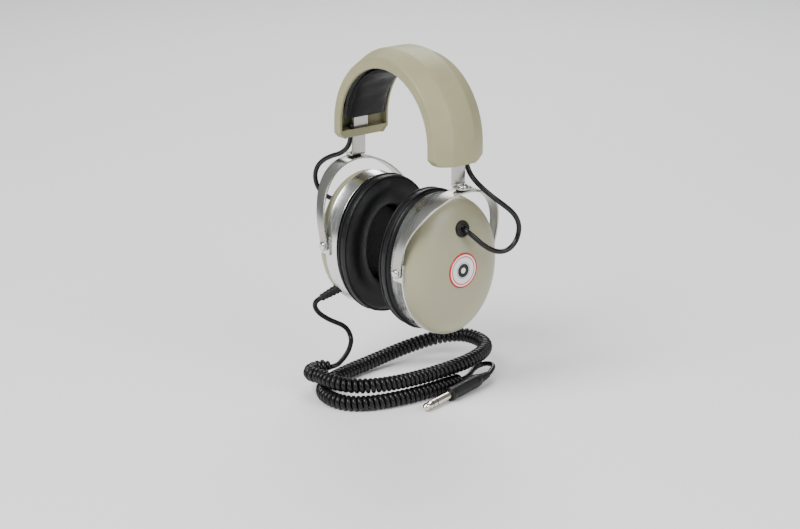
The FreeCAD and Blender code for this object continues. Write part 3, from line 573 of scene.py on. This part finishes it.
# the handle's two ends are (distance from that end, how much thinner than the handle)
plug = {"tip": (52.1, -26.4, -252.4), "way": (0.175, -0.984, -0.044), "handleR": 5.5, "handle": (31.5, 69.5),
        "front": [(0, 2.2), (0, 1.0), (0.5, 0.3), (1.4, 0), (3.8, 0)],
        "back": [(-5.6, 0), (-3, 0.15), (-1, 0.6), (0, 1.2)],
        "gripEnds": (4, 6), "gripIn": 0.1, "gripRib": 1.6, "gripGroove": 0.18,
        "reliefTo": 81.5, "reliefR": (4.2, 2.6), "rib": 2.4, "groove": 0.35, "tuck": 0.5, "mouth": 0.4}


def ribbedProfile(start, end, startR, endR, rib, groove):
    # a taper whose radius dips in a rounded groove once for every rib
    at = np.linspace(start, end, int(abs(end - start) / rib) * 12 + 1)
    share = (at - start) / (end - start)
    dip = groove * np.clip(np.sin(2 * np.pi * (at - start) / rib) * 1.6, -1, 1)
    return np.stack([at, startR + (endR - startR) * share + np.minimum(dip, 0)], 1)


def makeStrainRelief():
    # a ribbed taper turned about the way that the cord leaves
    profile = ribbedProfile(relief["edge"], relief["long"], relief["tipR"], relief["rootR"], relief["rib"],
                            relief["groove"])
    profile = np.vstack([[(0, relief["tipR"] - relief["edge"])], profile])
    piece = build("strainRelief", [surface(turnedGrid(profile, relief["tip"], relief["way"]))])
    return fit(piece, rubber, "left_cup", ("strain_relief",))


def makePlugHandle():
    # a profile turned about the plug's axis, finely ribbed between two plain ends; the boot is a ribbed taper
    low, high = plug["handle"]
    r = plug["handleR"]
    front = [(low + at, r - thinner) for at, thinner in plug["front"]]
    back = [(high + at, r - thinner) for at, thinner in plug["back"]]
    gripR = r - plug["gripIn"]
    grip = ribbedProfile(low + plug["gripEnds"][0], high - plug["gripEnds"][1], gripR, gripR,
                         plug["gripRib"], plug["gripGroove"])
    profile = np.vstack([front, grip, back])
    axis = -np.array(plug["way"])
    handle = build("plugHandle", [surface(turnedGrid(profile, plug["tip"], axis))], 50)
    fit(handle, plastic, "headband", ("plug_handle",))
    sleeve = np.vstack([ribbedProfile(high - plug["tuck"], plug["reliefTo"] - plug["tuck"], *plug["reliefR"],
                                      plug["rib"], plug["groove"]),
                        [(plug["reliefTo"], plug["reliefR"][1] - plug["mouth"])]])
    boot = build("plugBoot", [surface(turnedGrid(sleeve, plug["tip"], axis))])
    fit(boot, rubber, "headband", ("plug_relief",))
    return handle, boot


reliefSleeve = makeStrainRelief()
plugHandle, plugBoot = makePlugHandle()
routes["cordTail"].append(tuple(np.array(plug["tip"]) - unit(np.array(plug["way"])) * plug["reliefTo"]))
makeLead("right")
makeLead("left")
makeDrop()
makeCurl()
tailLine = smoothPath([curlPoints()[-1].tolist()] + routes["cordTail"])
makeCord("cordTail", tailLine, cordSizes["cordR"], ("cord_tail",), "headband")
print("cords made")


# headband: vinyl cover, padded liner and felt

cover = {"outline": [(-24.5, 52.5), (-24.5, 60.5), (-10.5, 67), (10.5, 67), (24.5, 60.5), (24.5, 52.5),
                     (22.3, 52.5), (22.3, 59.03), (9.95, 64.8), (-9.95, 64.8), (-22.3, 59.03), (-22.3, 52.5)],
         "cuts": [1.05, 1.6, 1.5, 1.5, 1.6, 1.05, 1.05, 1.5, 2, 2, 1.5, 1.05],
         "half": boxOf("headband_cover")[1][1], "skin": 2.2, "centre": 47.5, "drop": 12.0, "corner": 5.0,
         "rows": 150, "dropRows": 14, "smooth": 7, "firstInside": 6,
         "plate": [(52.8, -22.5), (59.2, -22.5), (64.9, -10), (64.9, 10), (59.2, 22.5), (52.8, 22.5)],
         "slot": [(53.6, -13), (58.5, -13), (63.5, -12.6), (63.5, 12.6), (58.5, 13), (53.6, 13)],
         "plateZ": (-59.2, -54.4, -53.2), "plateHalf": (17.4, 22.2, 22.2)}
pad = {"low": 48.6, "high": 53.6, "half": 18.9, "angle": 86.0, "short": 0.6, "round": 2.4, "rows": 120,
       "voxel": 3.6, "pressure": 4.0, "cap": 1.3, "pinned": 0.6, "piping": 0.75, "pipingFrom": 5.5,
       "pipingUp": 1.6, "pipingOut": 0.6, "lift": 0.1}
feltSizes = {"low": 54.1, "high": 56.6, "half": 18.0, "angle": 86.0, "round": 0.8, "rows": 140,
             "wander": 0.012, "waves": (7.0, 3.1)}
crossover = {"reach": 60.75, "lean": 13.0, "angles": (12, 169, 12)}
clothRun = {"steps": 20, "stiffness": 25}


def archPoints(outline, angles, drop=0.0, steps=0):
    # an outline of (across, radius) carried over the head, then straight down at both ends
    across, reach = outline[:, 0], outline[:, 1]
    turn = np.radians(angles)[:, None]
    middle = np.stack([reach * np.cos(turn), np.broadcast_to(across, (len(angles), len(across))),
                       reach * np.sin(turn) - cover["centre"]], -1)
    if not steps:
        return middle
    down = np.linspace(0, drop, steps + 1)[1:, None]
    ends = [np.stack([side * reach + 0 * down, across + 0 * down, -cover["centre"] - down + 0 * reach], -1)
            for side in (1, -1)]
    return np.vstack([ends[0][::-1], middle, ends[1]])


def makeCover():
    # the outline, outer side first, carried over the head; its last few millimetres are clipped narrower,
    # which gives the small cut corners
    outline, corner = roundedOutline(cover["outline"], cover["cuts"], cover["smooth"])
    points = archPoints(outline, np.linspace(0, 180, cover["rows"]), cover["drop"], cover["dropRows"])
    bottom = -cover["centre"] - cover["drop"]
    limit = cover["half"] - np.clip(bottom + cover["corner"] - points[:, :1, 2], 0, cover["corner"])
    limit = limit - cover["skin"] * (corner >= cover["firstInside"])
    points[:, :, 1] = np.clip(points[:, :, 1], -limit, limit)
    plates = []
    for side in (1, -1):
        loops = [[(side * x, max(-half, min(half, y)), z) for x, y in cover["plate"]]
                 for z, half in zip(cover["plateZ"], cover["plateHalf"])]
        loops += [[(side * x, y, z) for x, y in cover["slot"]]
                  for z in (cover["plateZ"][-1], cover["plateZ"][0])]
        plates.append(surface(np.array(loops, float), wrapRows=True))
    piece = build("coverShell", [surface(points, caps="flat")] + plates, 30)
    fit(piece, vinyl, "headband", ("headband_cover",))


def voxelCopy(piece, voxel):
    # the mesh made again in even cells, so that cloth bends it evenly
    modifier = piece.modifiers.new("remesh", "REMESH")
    modifier.mode, modifier.voxel_size = "VOXEL", voxel / 1000
    bpy.context.view_layer.update()
    mesh = bpy.data.meshes.new_from_object(piece.evaluated_get(bpy.context.evaluated_depsgraph_get()))
    piece.modifiers.clear()
    old, piece.data = piece.data, mesh
    bpy.data.meshes.remove(old)


def coordsOf(mesh):
    co = np.zeros(len(mesh.vertices) * 3)
    mesh.vertices.foreach_get("co", co)
    return co.reshape(-1, 3)


def puff(piece, sizes, pinned):
    # cloth under pressure, held where it is glued down; no point moves further than the cap
    voxelCopy(piece, sizes["voxel"])
    start = coordsOf(piece.data)
    group = piece.vertex_groups.new(name="pinned")
    group.add(np.flatnonzero(pinned(start * 1000)).tolist(), 1.0, "REPLACE")
    cloth = piece.modifiers.new("cloth", "CLOTH")
    cloth.settings.use_pressure = True
    cloth.settings.uniform_pressure_force = sizes["pressure"]
    cloth.settings.vertex_group_mass = "pinned"
    cloth.settings.effector_weights.gravity = 0
    cloth.settings.tension_stiffness = cloth.settings.compression_stiffness = clothRun["stiffness"]
    cloth.point_cache.frame_start, cloth.point_cache.frame_end = 1, clothRun["steps"]
    for step in range(1, clothRun["steps"] + 1):
        bpy.context.scene.frame_set(step)
    moved = piece.evaluated_get(bpy.context.evaluated_depsgraph_get()).data
    shift = coordsOf(moved) - start
    piece.modifiers.clear()
    bpy.context.scene.frame_set(1)
    far = np.linalg.norm(shift, axis=1, keepdims=True)
    cap = sizes["cap"] / 1000
    shift *= cap * np.tanh(far / cap) / np.maximum(far, 1e-9)
    piece.data.vertices.foreach_set("co", (start + shift).ravel())
    print("  ", piece.name, "swelled", round(float(far.max()) * 1000, 2), "mm before the cap")
    piece.data.shade_smooth()
    smooth = piece.modifiers.new("smooth", "SUBSURF")
    smooth.levels = smooth.render_levels = 1


def seatedOn(piece, path, lift):
    # the path moved onto the piece's surface, and lifted off it a little
    tree = BVHTree.FromObject(piece, bpy.context.evaluated_depsgraph_get())
    hits = [tree.find_nearest(Vector(point) / 1000) for point in path]
    return np.array([np.array(hit[0] + hit[1] * lift / 1000) * 1000 for hit in hits])


def oblong(sizes, steps):
    # a flat box section with rounded corners
    low, high, half = sizes["low"], sizes["high"], sizes["half"]
    corners = [(-half, low), (-half, high), (half, high), (half, low)]
    return roundedOutline(corners, [sizes["round"]] * 4, steps)[0]


def makeHeadPad():
    # the section carried round the head, its long sides divided so that they can swell as cloth
    outline = oblong(pad, 6)
    outline = np.array(sum([np.linspace(a, b, 5)[:-1].tolist() if np.linalg.norm(a - b) > 2 else [a.tolist()]
                            for a, b in zip(outline, np.roll(outline, -1, 0))], []))
    angles = np.linspace(90 - pad["angle"] + pad["short"], 90 + pad["angle"] - pad["short"], pad["rows"])
    piece = build("headPad", [surface(archPoints(outline, angles), caps="flat")])
    puff(piece, pad, lambda co: np.hypot(co[:, 0], co[:, 2] + cover["centre"]) > pad["high"] - pad["pinned"])
    fit(piece, padVinyl, "headband", ("headband_pad",))
    # the piping is a thin tube along each edge
    turn = np.radians(np.linspace(pad["pipingFrom"], 180 - pad["pipingFrom"], 100))
    reach, across = pad["low"] + pad["pipingUp"], pad["half"] + pad["pipingOut"]
    edges = []
    for side in (1, -1):
        line = np.stack([reach * np.cos(turn), 0 * turn + side * across,
                         reach * np.sin(turn) - cover["centre"]], 1)
        edges.append(surface(tubeGrid(seatedOn(piece, line, pad["lift"]), pad["piping"], 10)))
    fit(build("headPadPiping", edges), padVinyl, "headband")


def makeFelt():
    # the section carried round the head; its cut edge wanders by one wave times another
    angles = np.linspace(90 - feltSizes["angle"], 90 + feltSizes["angle"], feltSizes["rows"])
    points = archPoints(oblong(feltSizes, 4), angles)
    slow, fast = feltSizes["waves"]
    wander = (1 + np.sin(angles / slow) * np.cos(angles / fast))[:, None]
    points[:, :, 1] *= 1 - feltSizes["wander"] * wander
    piece = build("headFelt", [surface(points, caps="flat")])
    fit(piece, felt, "headband", ("headband_felt",))


def makeCrossover():
    # an arc over the head that leans across it from front to back
    turn = np.radians(np.arange(*crossover["angles"]))
    line = smoothPath(np.stack([crossover["reach"] * np.cos(turn), crossover["lean"] * np.cos(turn),
                                crossover["reach"] * np.sin(turn) - cover["centre"]], 1))
    makeCord("crossoverCable", line, cordSizes["leadR"], ("crossover_cable",), "headband")


makeCover()
makeHeadPad()
makeFelt()
makeCrossover()
print("headband made")


# sliders, swivels and yokes: flat strips bent to shape

sliderLow, sliderHigh = boxOf("right_slider")
pivotX, pivotY, pivotZ = middleOf("right_pivot_screws")
# the slider's middle line runs half its thickness inside the node's box
slider = {"x": round(sliderLow[0] + 0.6, 1), "top": sliderHigh[2], "tabZ": round(sliderLow[2] + 0.6, 1),
          "tabEnd": sliderHigh[0], "half": sliderHigh[1], "bend": 2.6, "thick": 1.2, "round": 5.4,
          "edge": 0.35}
# the yoke's sides are (height, distance out, half width)
yoke = {"radius": 47.35, "middle": -126.8, "pivot": pivotZ, "end": 4.2, "thick": 1.5, "edge": 0.45,
        "sides": [(-76, 65, 6.5), (-82.2, 64.6, 6.5), (-94.7, 59, 5.875), (-109.35, 52.5, 4.7),
                  (-122, 48.6, 4.4), (-135.8, 45.1, 4.2), (-146, 45, 4.2)], "ease": 4.0}
swivel = {"x": middleOf("right_swivel_rivet")[0], "z": -76.4, "head": 4.1, "rise": 2.35, "blunt": 2.6,
          "slot": 0.5, "slotDeep": 0.8, "slotWay": (0.8, 0.6), "slotEdge": 0.12, "shank": 2.0, "foot": 3.8,
          "footZ": -80.5}
knob = {"x": pivotX, "y": pivotY + 48.2, "z": pivotZ,
        "profile": [(-3.6, 1.2), (-3.5, 1.55), (-0.04, 1.55), (0, 2.9), (0.12, 3.15), (0.4, 3.3), (1.0, 3.3),
                    (1.5, 3.05), (1.9, 2.5), (2.12, 1.7), (2.2, 0.8)]}


def stripPoints(path, normal, widthway, half, thick, edge):
    # a thin rounded section carried along the path; its half width may change on the way
    outline = roundedOutline([(-1, -thick / 2), (1, -thick / 2), (1, thick / 2), (-1, thick / 2)],
                             [edge * 0.8] * 4, 4)[0]
    sign = np.sign(outline[:, 0])
    inset = 1 - abs(outline[:, 0])
    across = sign[None, :] * np.maximum(half[:, None] - inset[None, :], 0.05)
    lifted = path[:, None] + normal[:, None] * outline[None, :, 1, None]
    return lifted + np.array(widthway) * across[..., None]


def makeSlider(side, sign):
    # a straight stem, a quarter circle and a tab whose half width falls along a circle at its end
    r = slider["bend"]
    corner = [(slider["x"] + r * (1 - math.cos(a)), slider["tabZ"] + r * (1 - math.sin(a)))
              for a in np.linspace(0, math.pi / 2, 9)]
    stem = [(slider["x"], z) for z in np.linspace(slider["top"], slider["tabZ"] + r, 24)[:-1]]
    tabStart = slider["tabEnd"] - slider["round"]
    roundEnd = slider["tabEnd"] - slider["round"] * (1 - np.sin(np.linspace(0, math.pi / 2, 12)))
    tab = [(x, slider["tabZ"]) for x in np.r_[np.linspace(slider["x"] + r, tabStart, 6)[1:-1], roundEnd]]
    line = np.array(stem + corner + tab)
    along = unit(np.gradient(line, axis=0))
    path = np.stack([line[:, 0], 0 * line[:, 0], line[:, 1]], 1)
    normal = np.stack([-along[:, 1], 0 * line[:, 0], along[:, 0]], 1)
    late = np.clip(line[:, 0] - slider["tabEnd"] + slider["round"], 0, slider["round"])
    half = slider["half"] - slider["round"] + np.sqrt(np.maximum(slider["round"] ** 2 - late ** 2, 0.01))
    points = stripPoints(path, normal, (0, 1, 0), half, slider["thick"], slider["edge"])
    piece = build(side + "Slider", [surface(points * (sign, 1, 1), caps="flat")], 35)
    fit(piece, stripSteel, side + "_slide", (side + "_slider",))


def makeSwivel(side, sign):
    # a flat dome with a slot across it, on a plain shank with a riveted foot
    reach = np.linspace(1, 0.04, 34)[:, None] * swivel["head"]
    turn = np.linspace(0, 2 * np.pi, 96, endpoint=False)[None, :]
    x, y = reach * np.cos(turn), reach * np.sin(turn)
    rise = swivel["rise"] * (1 - (reach / swivel["head"]) ** swivel["blunt"]) ** 0.5
    fromSlot = abs(swivel["slotWay"][0] * x + swivel["slotWay"][1] * y)
    slotted = np.clip((swivel["slot"] + swivel["slotEdge"] - fromSlot) / (2 * swivel["slotEdge"]), 0, 1)
    z = rise - np.minimum(swivel["slotDeep"] * slotted, rise)
    dome = np.stack([x, y, z + 0 * x], -1)
    rim = np.stack([x[:1], y[:1], 0 * x[:1] - 0.05], -1)
    top = np.vstack([rim, dome]) + (swivel["x"], 0, swivel["z"])
    foot = [(swivel["z"], swivel["shank"]), (swivel["footZ"], swivel["shank"]),
            (swivel["footZ"], swivel["foot"] - 0.2), (swivel["footZ"] - 0.2, swivel["foot"]),
            (swivel["footZ"] - 0.6, swivel["foot"] - 0.1), (swivel["footZ"] - 0.9, swivel["foot"] - 0.8)]
    shank = turnedGrid(foot, (swivel["x"], 0, 0), (0, 0, 1), 40)
    piece = build(side + "SwivelRivet", [surface(points * (sign, 1, 1)) for points in (top, shank)], 30)
    fit(piece, brightSteel, side + "_slide", (side + "_swivel_rivet",))


def makeYoke(side, sign):
    # two straight legs with rounded ends, joined over the cup by half a circle
    r = yoke["radius"]
    legZ = yoke["pivot"] - yoke["end"] * np.sin(np.linspace(math.pi / 2, 0, 12))
    legZ = np.r_[legZ, np.linspace(yoke["pivot"], yoke["middle"], 9)[1:-1]]
    turn = np.linspace(0, np.pi, 121)
    y = np.r_[0 * legZ + r, r * np.cos(turn), 0 * legZ - r]
    z = np.r_[legZ, yoke["middle"] + r * np.sin(turn), legZ[::-1]]
    path = np.stack([0 * y, y, z], 1)
    normal = np.stack([0 * y, np.r_[0 * legZ + 1, np.cos(turn), 0 * legZ - 1],
                       np.r_[0 * legZ, np.sin(turn), 0 * legZ]], 1)
    # centre and half width come from the side table, averaged over a short stretch so that they ease
    table = np.array(yoke["sides"])[::-1]
    near = z[:, None] + np.linspace(-yoke["ease"], yoke["ease"], 9)
    path[:, 0] = np.interp(near, table[:, 0], table[:, 1]).mean(1)
    half = np.interp(near, table[:, 0], table[:, 2]).mean(1)
    below = np.clip(yoke["pivot"] - z, 0, yoke["end"])
    half = np.where(below > 0, np.sqrt(np.maximum(yoke["end"] ** 2 - below ** 2, 0.01)), half)
    points = stripPoints(path, normal, (1, 0, 0), half, yoke["thick"], yoke["edge"])
    piece = build(side + "Yoke", [surface(points * (sign, 1, 1), caps="flat")], 35)
    fit(piece, yokeSteel, side + "_fork", (side + "_yoke",))


def makeKnobs(side, sign):
    # a domed profile turned about the pivot's axis, one head each way
    heads = [turnedGrid(knob["profile"], (sign * knob["x"], way * knob["y"], knob["z"]), (0, way, 0), 36)
             for way in (1, -1)]
    piece = build(side + "PivotKnobs", [surface(points) for points in heads], 30)
    fit(piece, brightSteel, side + "_cup", (side + "_pivot_screws",))


for side, sign in (("right", 1), ("left", -1)):
    makeSlider(side, sign)
    makeSwivel(side, sign)
    makeYoke(side, sign)
    makeKnobs(side, sign)
print("sliders, swivels and yokes made")


# ear cups

badgeX = boxOf("right_badge")[0][0]
cup = {"z": middleOf("right_shell")[2], "edgeX": boxOf("right_rim_band")[1][0], "wide": 43.9, "tall": 54.7,
       "deep": 19.4, "blunt": 2.8, "flat": 0.985, "wall": 2.0, "lip": 41.5, "inset": 1.05, "badgeR": 13.85,
       "seatX": badgeX, "seatStep": 0.02, "sides": 128}
# the rim's section is (distance out, how far it stands proud of the shell)
rim = {"section": [(33.6, -1.0), (33.6, -0.35), (33.75, -0.1), (34.0, 0), (46.3, 0), (46.55, 0.2),
                   (46.8, 0.38), (47.1, 0.4), (47.35, 0.25), (47.5, 0), (47.5, -1.0)]}
cushion = {"x": 25.75, "deep": 7.5, "ring": (33.75, 43.5), "half": (11.9, 12.6), "blunt": 2.9, "voxel": 3.4,
           "pressure": 70.0, "cap": 1.5, "pinFrom": 31.2, "piping": 0.85, "seams": (21.2, 28.6), "lift": 0.35}
# the dust foam's edge is (share of the thickness, how much smaller the oval is)
dust = {"x": 32.4, "thick": 1.5, "wide": 20.3, "tall": 29.3, "back": (2, 3),
        "edge": [(0.5, 1), (0.3, 0), (-0.2, 0), (-0.42, 0.8)], "crown": (0.42, 0.08), "shrink": (0.93, 0.05)}
grommet = {"x": 64.77, "z": -109.5, "tilt": 9.5,
           "section": [(-4.5, 2.05), (-4.5, 5.1), (-0.3, 5.15), (-0.2, 6.3), (0.2, 6.6), (1.2, 6.5),
                       (1.9, 6.0), (2.3, 5.2), (2.2, 4.7), (1.7, 4.4), (1.7, 3.9), (2.2, 3.6), (2.4, 3.0),
                       (2.1, 2.5), (1.2, 2.1)]}
badge = {"x": badgeX,
         "profile": [(0, 13.7), (0.7, 13.75), (0.95, 13.6), (1.0, 13.3), (0.92, 13.0), (0.9, 0.4)],
         "rings": [(2.2, colours["silver"]), (5.4, colours["black"]), (6.0, colours["silver"]),
                   (6.4, colours["black"]), (10.4, colours["silver"]), (11.2, colours["red"]),
                   (12.4, colours["silver"]), (13.8, colours["red"])]}
badgeMetal = badgeFinish("badgeEnamel", (0, 0, cup["z"]), badge["rings"])


def ovalGrid(rows, sides):
    # each row is a place along X with the half width and half height of its oval
    rows = np.array(rows, float)
    turn = np.linspace(0, 2 * np.pi, sides, endpoint=False)
    return np.stack([rows[:, 0, None] + 0 * turn, rows[:, 1, None] * np.cos(turn),
                     cup["z"] + rows[:, 2, None] * np.sin(turn)], -1)


def domeRows(deep, wide, tall, steps=46):
    # half sizes shrink as (1 - u^n)^(1/n) towards the flat middle
    u = cup["flat"] * np.sin(np.linspace(0, np.pi / 2, steps))
    share = (1 - u ** cup["blunt"]) ** (1 / cup["blunt"])
    return np.stack([cup["edgeX"] + deep * u, wide * share, tall * share], 1)


def makeShell(side, sign):
    # the dome's ovals outside and inside, joined by a lip that goes into the rim
    wide, tall, wall = cup["wide"] - cup["inset"], cup["tall"] - cup["inset"], cup["wall"]
    top = cup["edgeX"] + cup["deep"] * cup["flat"] - cup["seatStep"]
    seat = [(x, cup["badgeR"], cup["badgeR"]) for x in (cup["seatX"], top)]
    outside = domeRows(cup["deep"], cup["wide"], cup["tall"])[::-1]
    lip = [(cup["edgeX"], wide, tall), (cup["lip"], wide, tall), (cup["lip"], wide - wall, tall - wall)]
    inside = domeRows(cup["deep"] - wall, wide - wall, tall - wall, 24)
    rows = np.vstack([seat, outside, lip, inside])
    piece = build(side + "Shell", [surface(ovalGrid(rows, cup["sides"]) * (sign, 1, 1))], 40)
    fit(piece, shellPaint, side + "_cup", (side + "_shell",))


def makeRim(side, sign):
    # the shell's oval, made larger by each point of the section
    rows = [(x, cup["wide"] + out, cup["tall"] + out) for x, out in rim["section"]]
    piece = build(side + "RimBand", [surface(ovalGrid(rows, cup["sides"]) * (sign, 1, 1), wrapRows=True)], 50)
    fit(piece, rimSteel, side + "_cup", (side + "_rim_band",))


def makeGrommet(side, sign):
    # a closed section turned about an axis that leans upwards
    tilt = math.radians(grommet["tilt"])
    points = turnedGrid(grommet["section"], (grommet["x"], 0, grommet["z"]),
                        (math.cos(tilt), 0, math.sin(tilt)))
    piece = build(side + "Grommet", [surface(points * (sign, 1, 1), wrapRows=True)], 60)
    fit(piece, rubber, side + "_cup", (side + "_grommet",))


def makeBadge(side, sign):
    # a low profile turned about X
    points = turnedGrid(badge["profile"], (badge["x"], 0, cup["z"]), (1, 0, 0), 96)
    piece = build(side + "Badge", [surface(points * (sign, 1, 1))], 40)
    fit(piece, badgeMetal, side + "_cup", (side + "_badge",))


def cushionPoint(turn, place):
    # a squared ring: turn goes round the ear, place round the padding's own section
    power = 2 / cushion["blunt"]
    c, s = np.cos(place), np.sin(place)
    out, depth = np.sign(c) * abs(c) ** power, np.sign(s) * abs(s) ** power
    (wide, tall), (halfWide, halfTall) = cushion["ring"], cushion["half"]
    return np.stack([cushion["x"] + cushion["deep"] * depth + 0 * turn,
                     (wide + halfWide * out) * np.cos(turn),
                     cup["z"] + (tall + halfTall * out) * np.sin(turn)], -1)


def makeCushions():
    # the right one is simulated, and the left is its mirror image
    turn = np.linspace(0, 2 * np.pi, 120, endpoint=False)[:, None]
    place = np.linspace(0, 2 * np.pi, 40, endpoint=False)[None, :]
    grid = cushionPoint(turn + 0 * place, place + 0 * turn)
    right = build("rightCushion", [surface(grid, wrapRows=True)])
    puff(right, cushion, lambda co: co[:, 0] > cushion["pinFrom"])
    fit(right, cushionVinyl, "right_cup", ("right_cushion",))
    lines = []
    for x in cushion["seams"]:
        line = cushionPoint(np.linspace(0, 2 * np.pi, 160, endpoint=False), 0.0)
        line[:, 0] = x
        lines.append(seatedOn(right, line, cushion["lift"]))
    mesh = right.data.copy()
    mesh.transform(Matrix.Scale(-1, 4, (1, 0, 0)))
    mesh.flip_normals()
    left = bpy.data.objects.new("leftCushion", mesh)
    bpy.context.scene.collection.objects.link(left)
    smooth = left.modifiers.new("smooth", "SUBSURF")
    smooth.levels = smooth.render_levels = 1
    fit(left, cushionVinyl, "left_cup", ("left_cushion",))
    for side, sign, piece in (("right", 1, right), ("left", -1, left)):
        hoops = [surface(hoopGrid(line * (sign, 1, 1), cushion["piping"]), wrapRows=True)
                 for line in lines]
        fit(build(side + "CushionPiping", hoops), cushionVinyl, side + "_cup")


def makeDust(side, sign):
    # ovals round the edge, then ovals that shrink towards a slightly raised middle
    x, t, wide, tall = dust["x"], dust["thick"], dust["wide"], dust["tall"]
    rows = [(x + t / 2, *dust["back"])]
    rows += [(x + t * at, wide - less, tall - less) for at, less in dust["edge"]]
    crown, rise = dust["crown"]
    rows += [(x - t * (crown + rise * (1 - s)), wide * s, tall * s) for s in np.linspace(*dust["shrink"], 12)]
    piece = build(side + "DustFoam", [surface(ovalGrid(rows, 72) * (sign, 1, 1))])
    fit(piece, foam, side + "_cup", (side + "_dust_foam",))


makeCushions()
for side, sign in (("right", 1), ("left", -1)):
    makeShell(side, sign)
    makeRim(side, sign)
    makeGrommet(side, sign)
    makeBadge(side, sign)
    makeDust(side, sign)
print("ear cups made")


# finishes for the parts that stay as they are

keptFinishes = {"spring_band": stripSteel, "slide_bracket": brightSteel, "stop_stud": brightSteel,
                "swivel_washer": plastic, "baffle": plastic, "driver_basket": plastic,
                "driver_magnet": magnetPaint, "diaphragm": film, "baffle_screws": brightSteel,
                "pivot_brackets": brightSteel, "plug_tip": nickel, "plug_ring": nickel, "plug_sleeve": nickel,
                "plug_tip_insulator": plastic, "plug_ring_insulator": plastic}
for name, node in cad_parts.items():
    finish = keptFinishes.get(name.replace("right_", "").replace("left_", ""))
    if finish:
        node.data.materials.clear()
        node.data.materials.append(finish)


# floor and light

lights = [("key", (0.2, -1.6, 1.7), 74, 1.3), ("fill", (1.9, 0.3, 1.0), 30, 1.5),
          ("back", (-1.2, 1.2, 1.4), 34, 1.3)]  # name, place in metres, power in watts, size in metres
room = {"floorHalf": 12.0, "floor": (0.93, 0.93, 0.93), "floorRough": 0.8, "aim": (0, 0, -0.12),
        "air": (0.92, 0.94, 0.96), "airStrength": 0.26}


def makeFloor():
    size, ground = room["floorHalf"], curl["ground"] / 1000
    corners = [(x * size, y * size, ground) for x, y in ((-1, -1), (1, -1), (1, 1), (-1, 1))]
    mesh = bpy.data.meshes.new("floor")
    mesh.from_pydata(corners, [], [(0, 1, 2, 3)])
    floor = bpy.data.objects.new("floor", mesh)
    bpy.context.scene.collection.objects.link(floor)
    material, tree, shader = newFinish("paleFloor", room["floor"], room["floorRough"])
    mesh.materials.append(material)


def makeLights():
    for name, place, power, size in lights:
        lamp = bpy.data.lights.new(name, "AREA")
        lamp.energy, lamp.size = power, size
        holder = bpy.data.objects.new(name, lamp)
        aim = Vector(room["aim"]) - Vector(place)
        holder.matrix_world = Matrix.Translation(place) @ aim.to_track_quat("-Z", "Y").to_matrix().to_4x4()
        bpy.context.scene.collection.objects.link(holder)
    world = bpy.data.worlds.new("studio")
    world.use_nodes = True
    air = world.node_tree.nodes["Background"]
    air.inputs["Color"].default_value = (*room["air"], 1)
    air.inputs["Strength"].default_value = room["airStrength"]
    bpy.context.scene.world = world


makeFloor()
makeLights()
print("floor and lights placed")
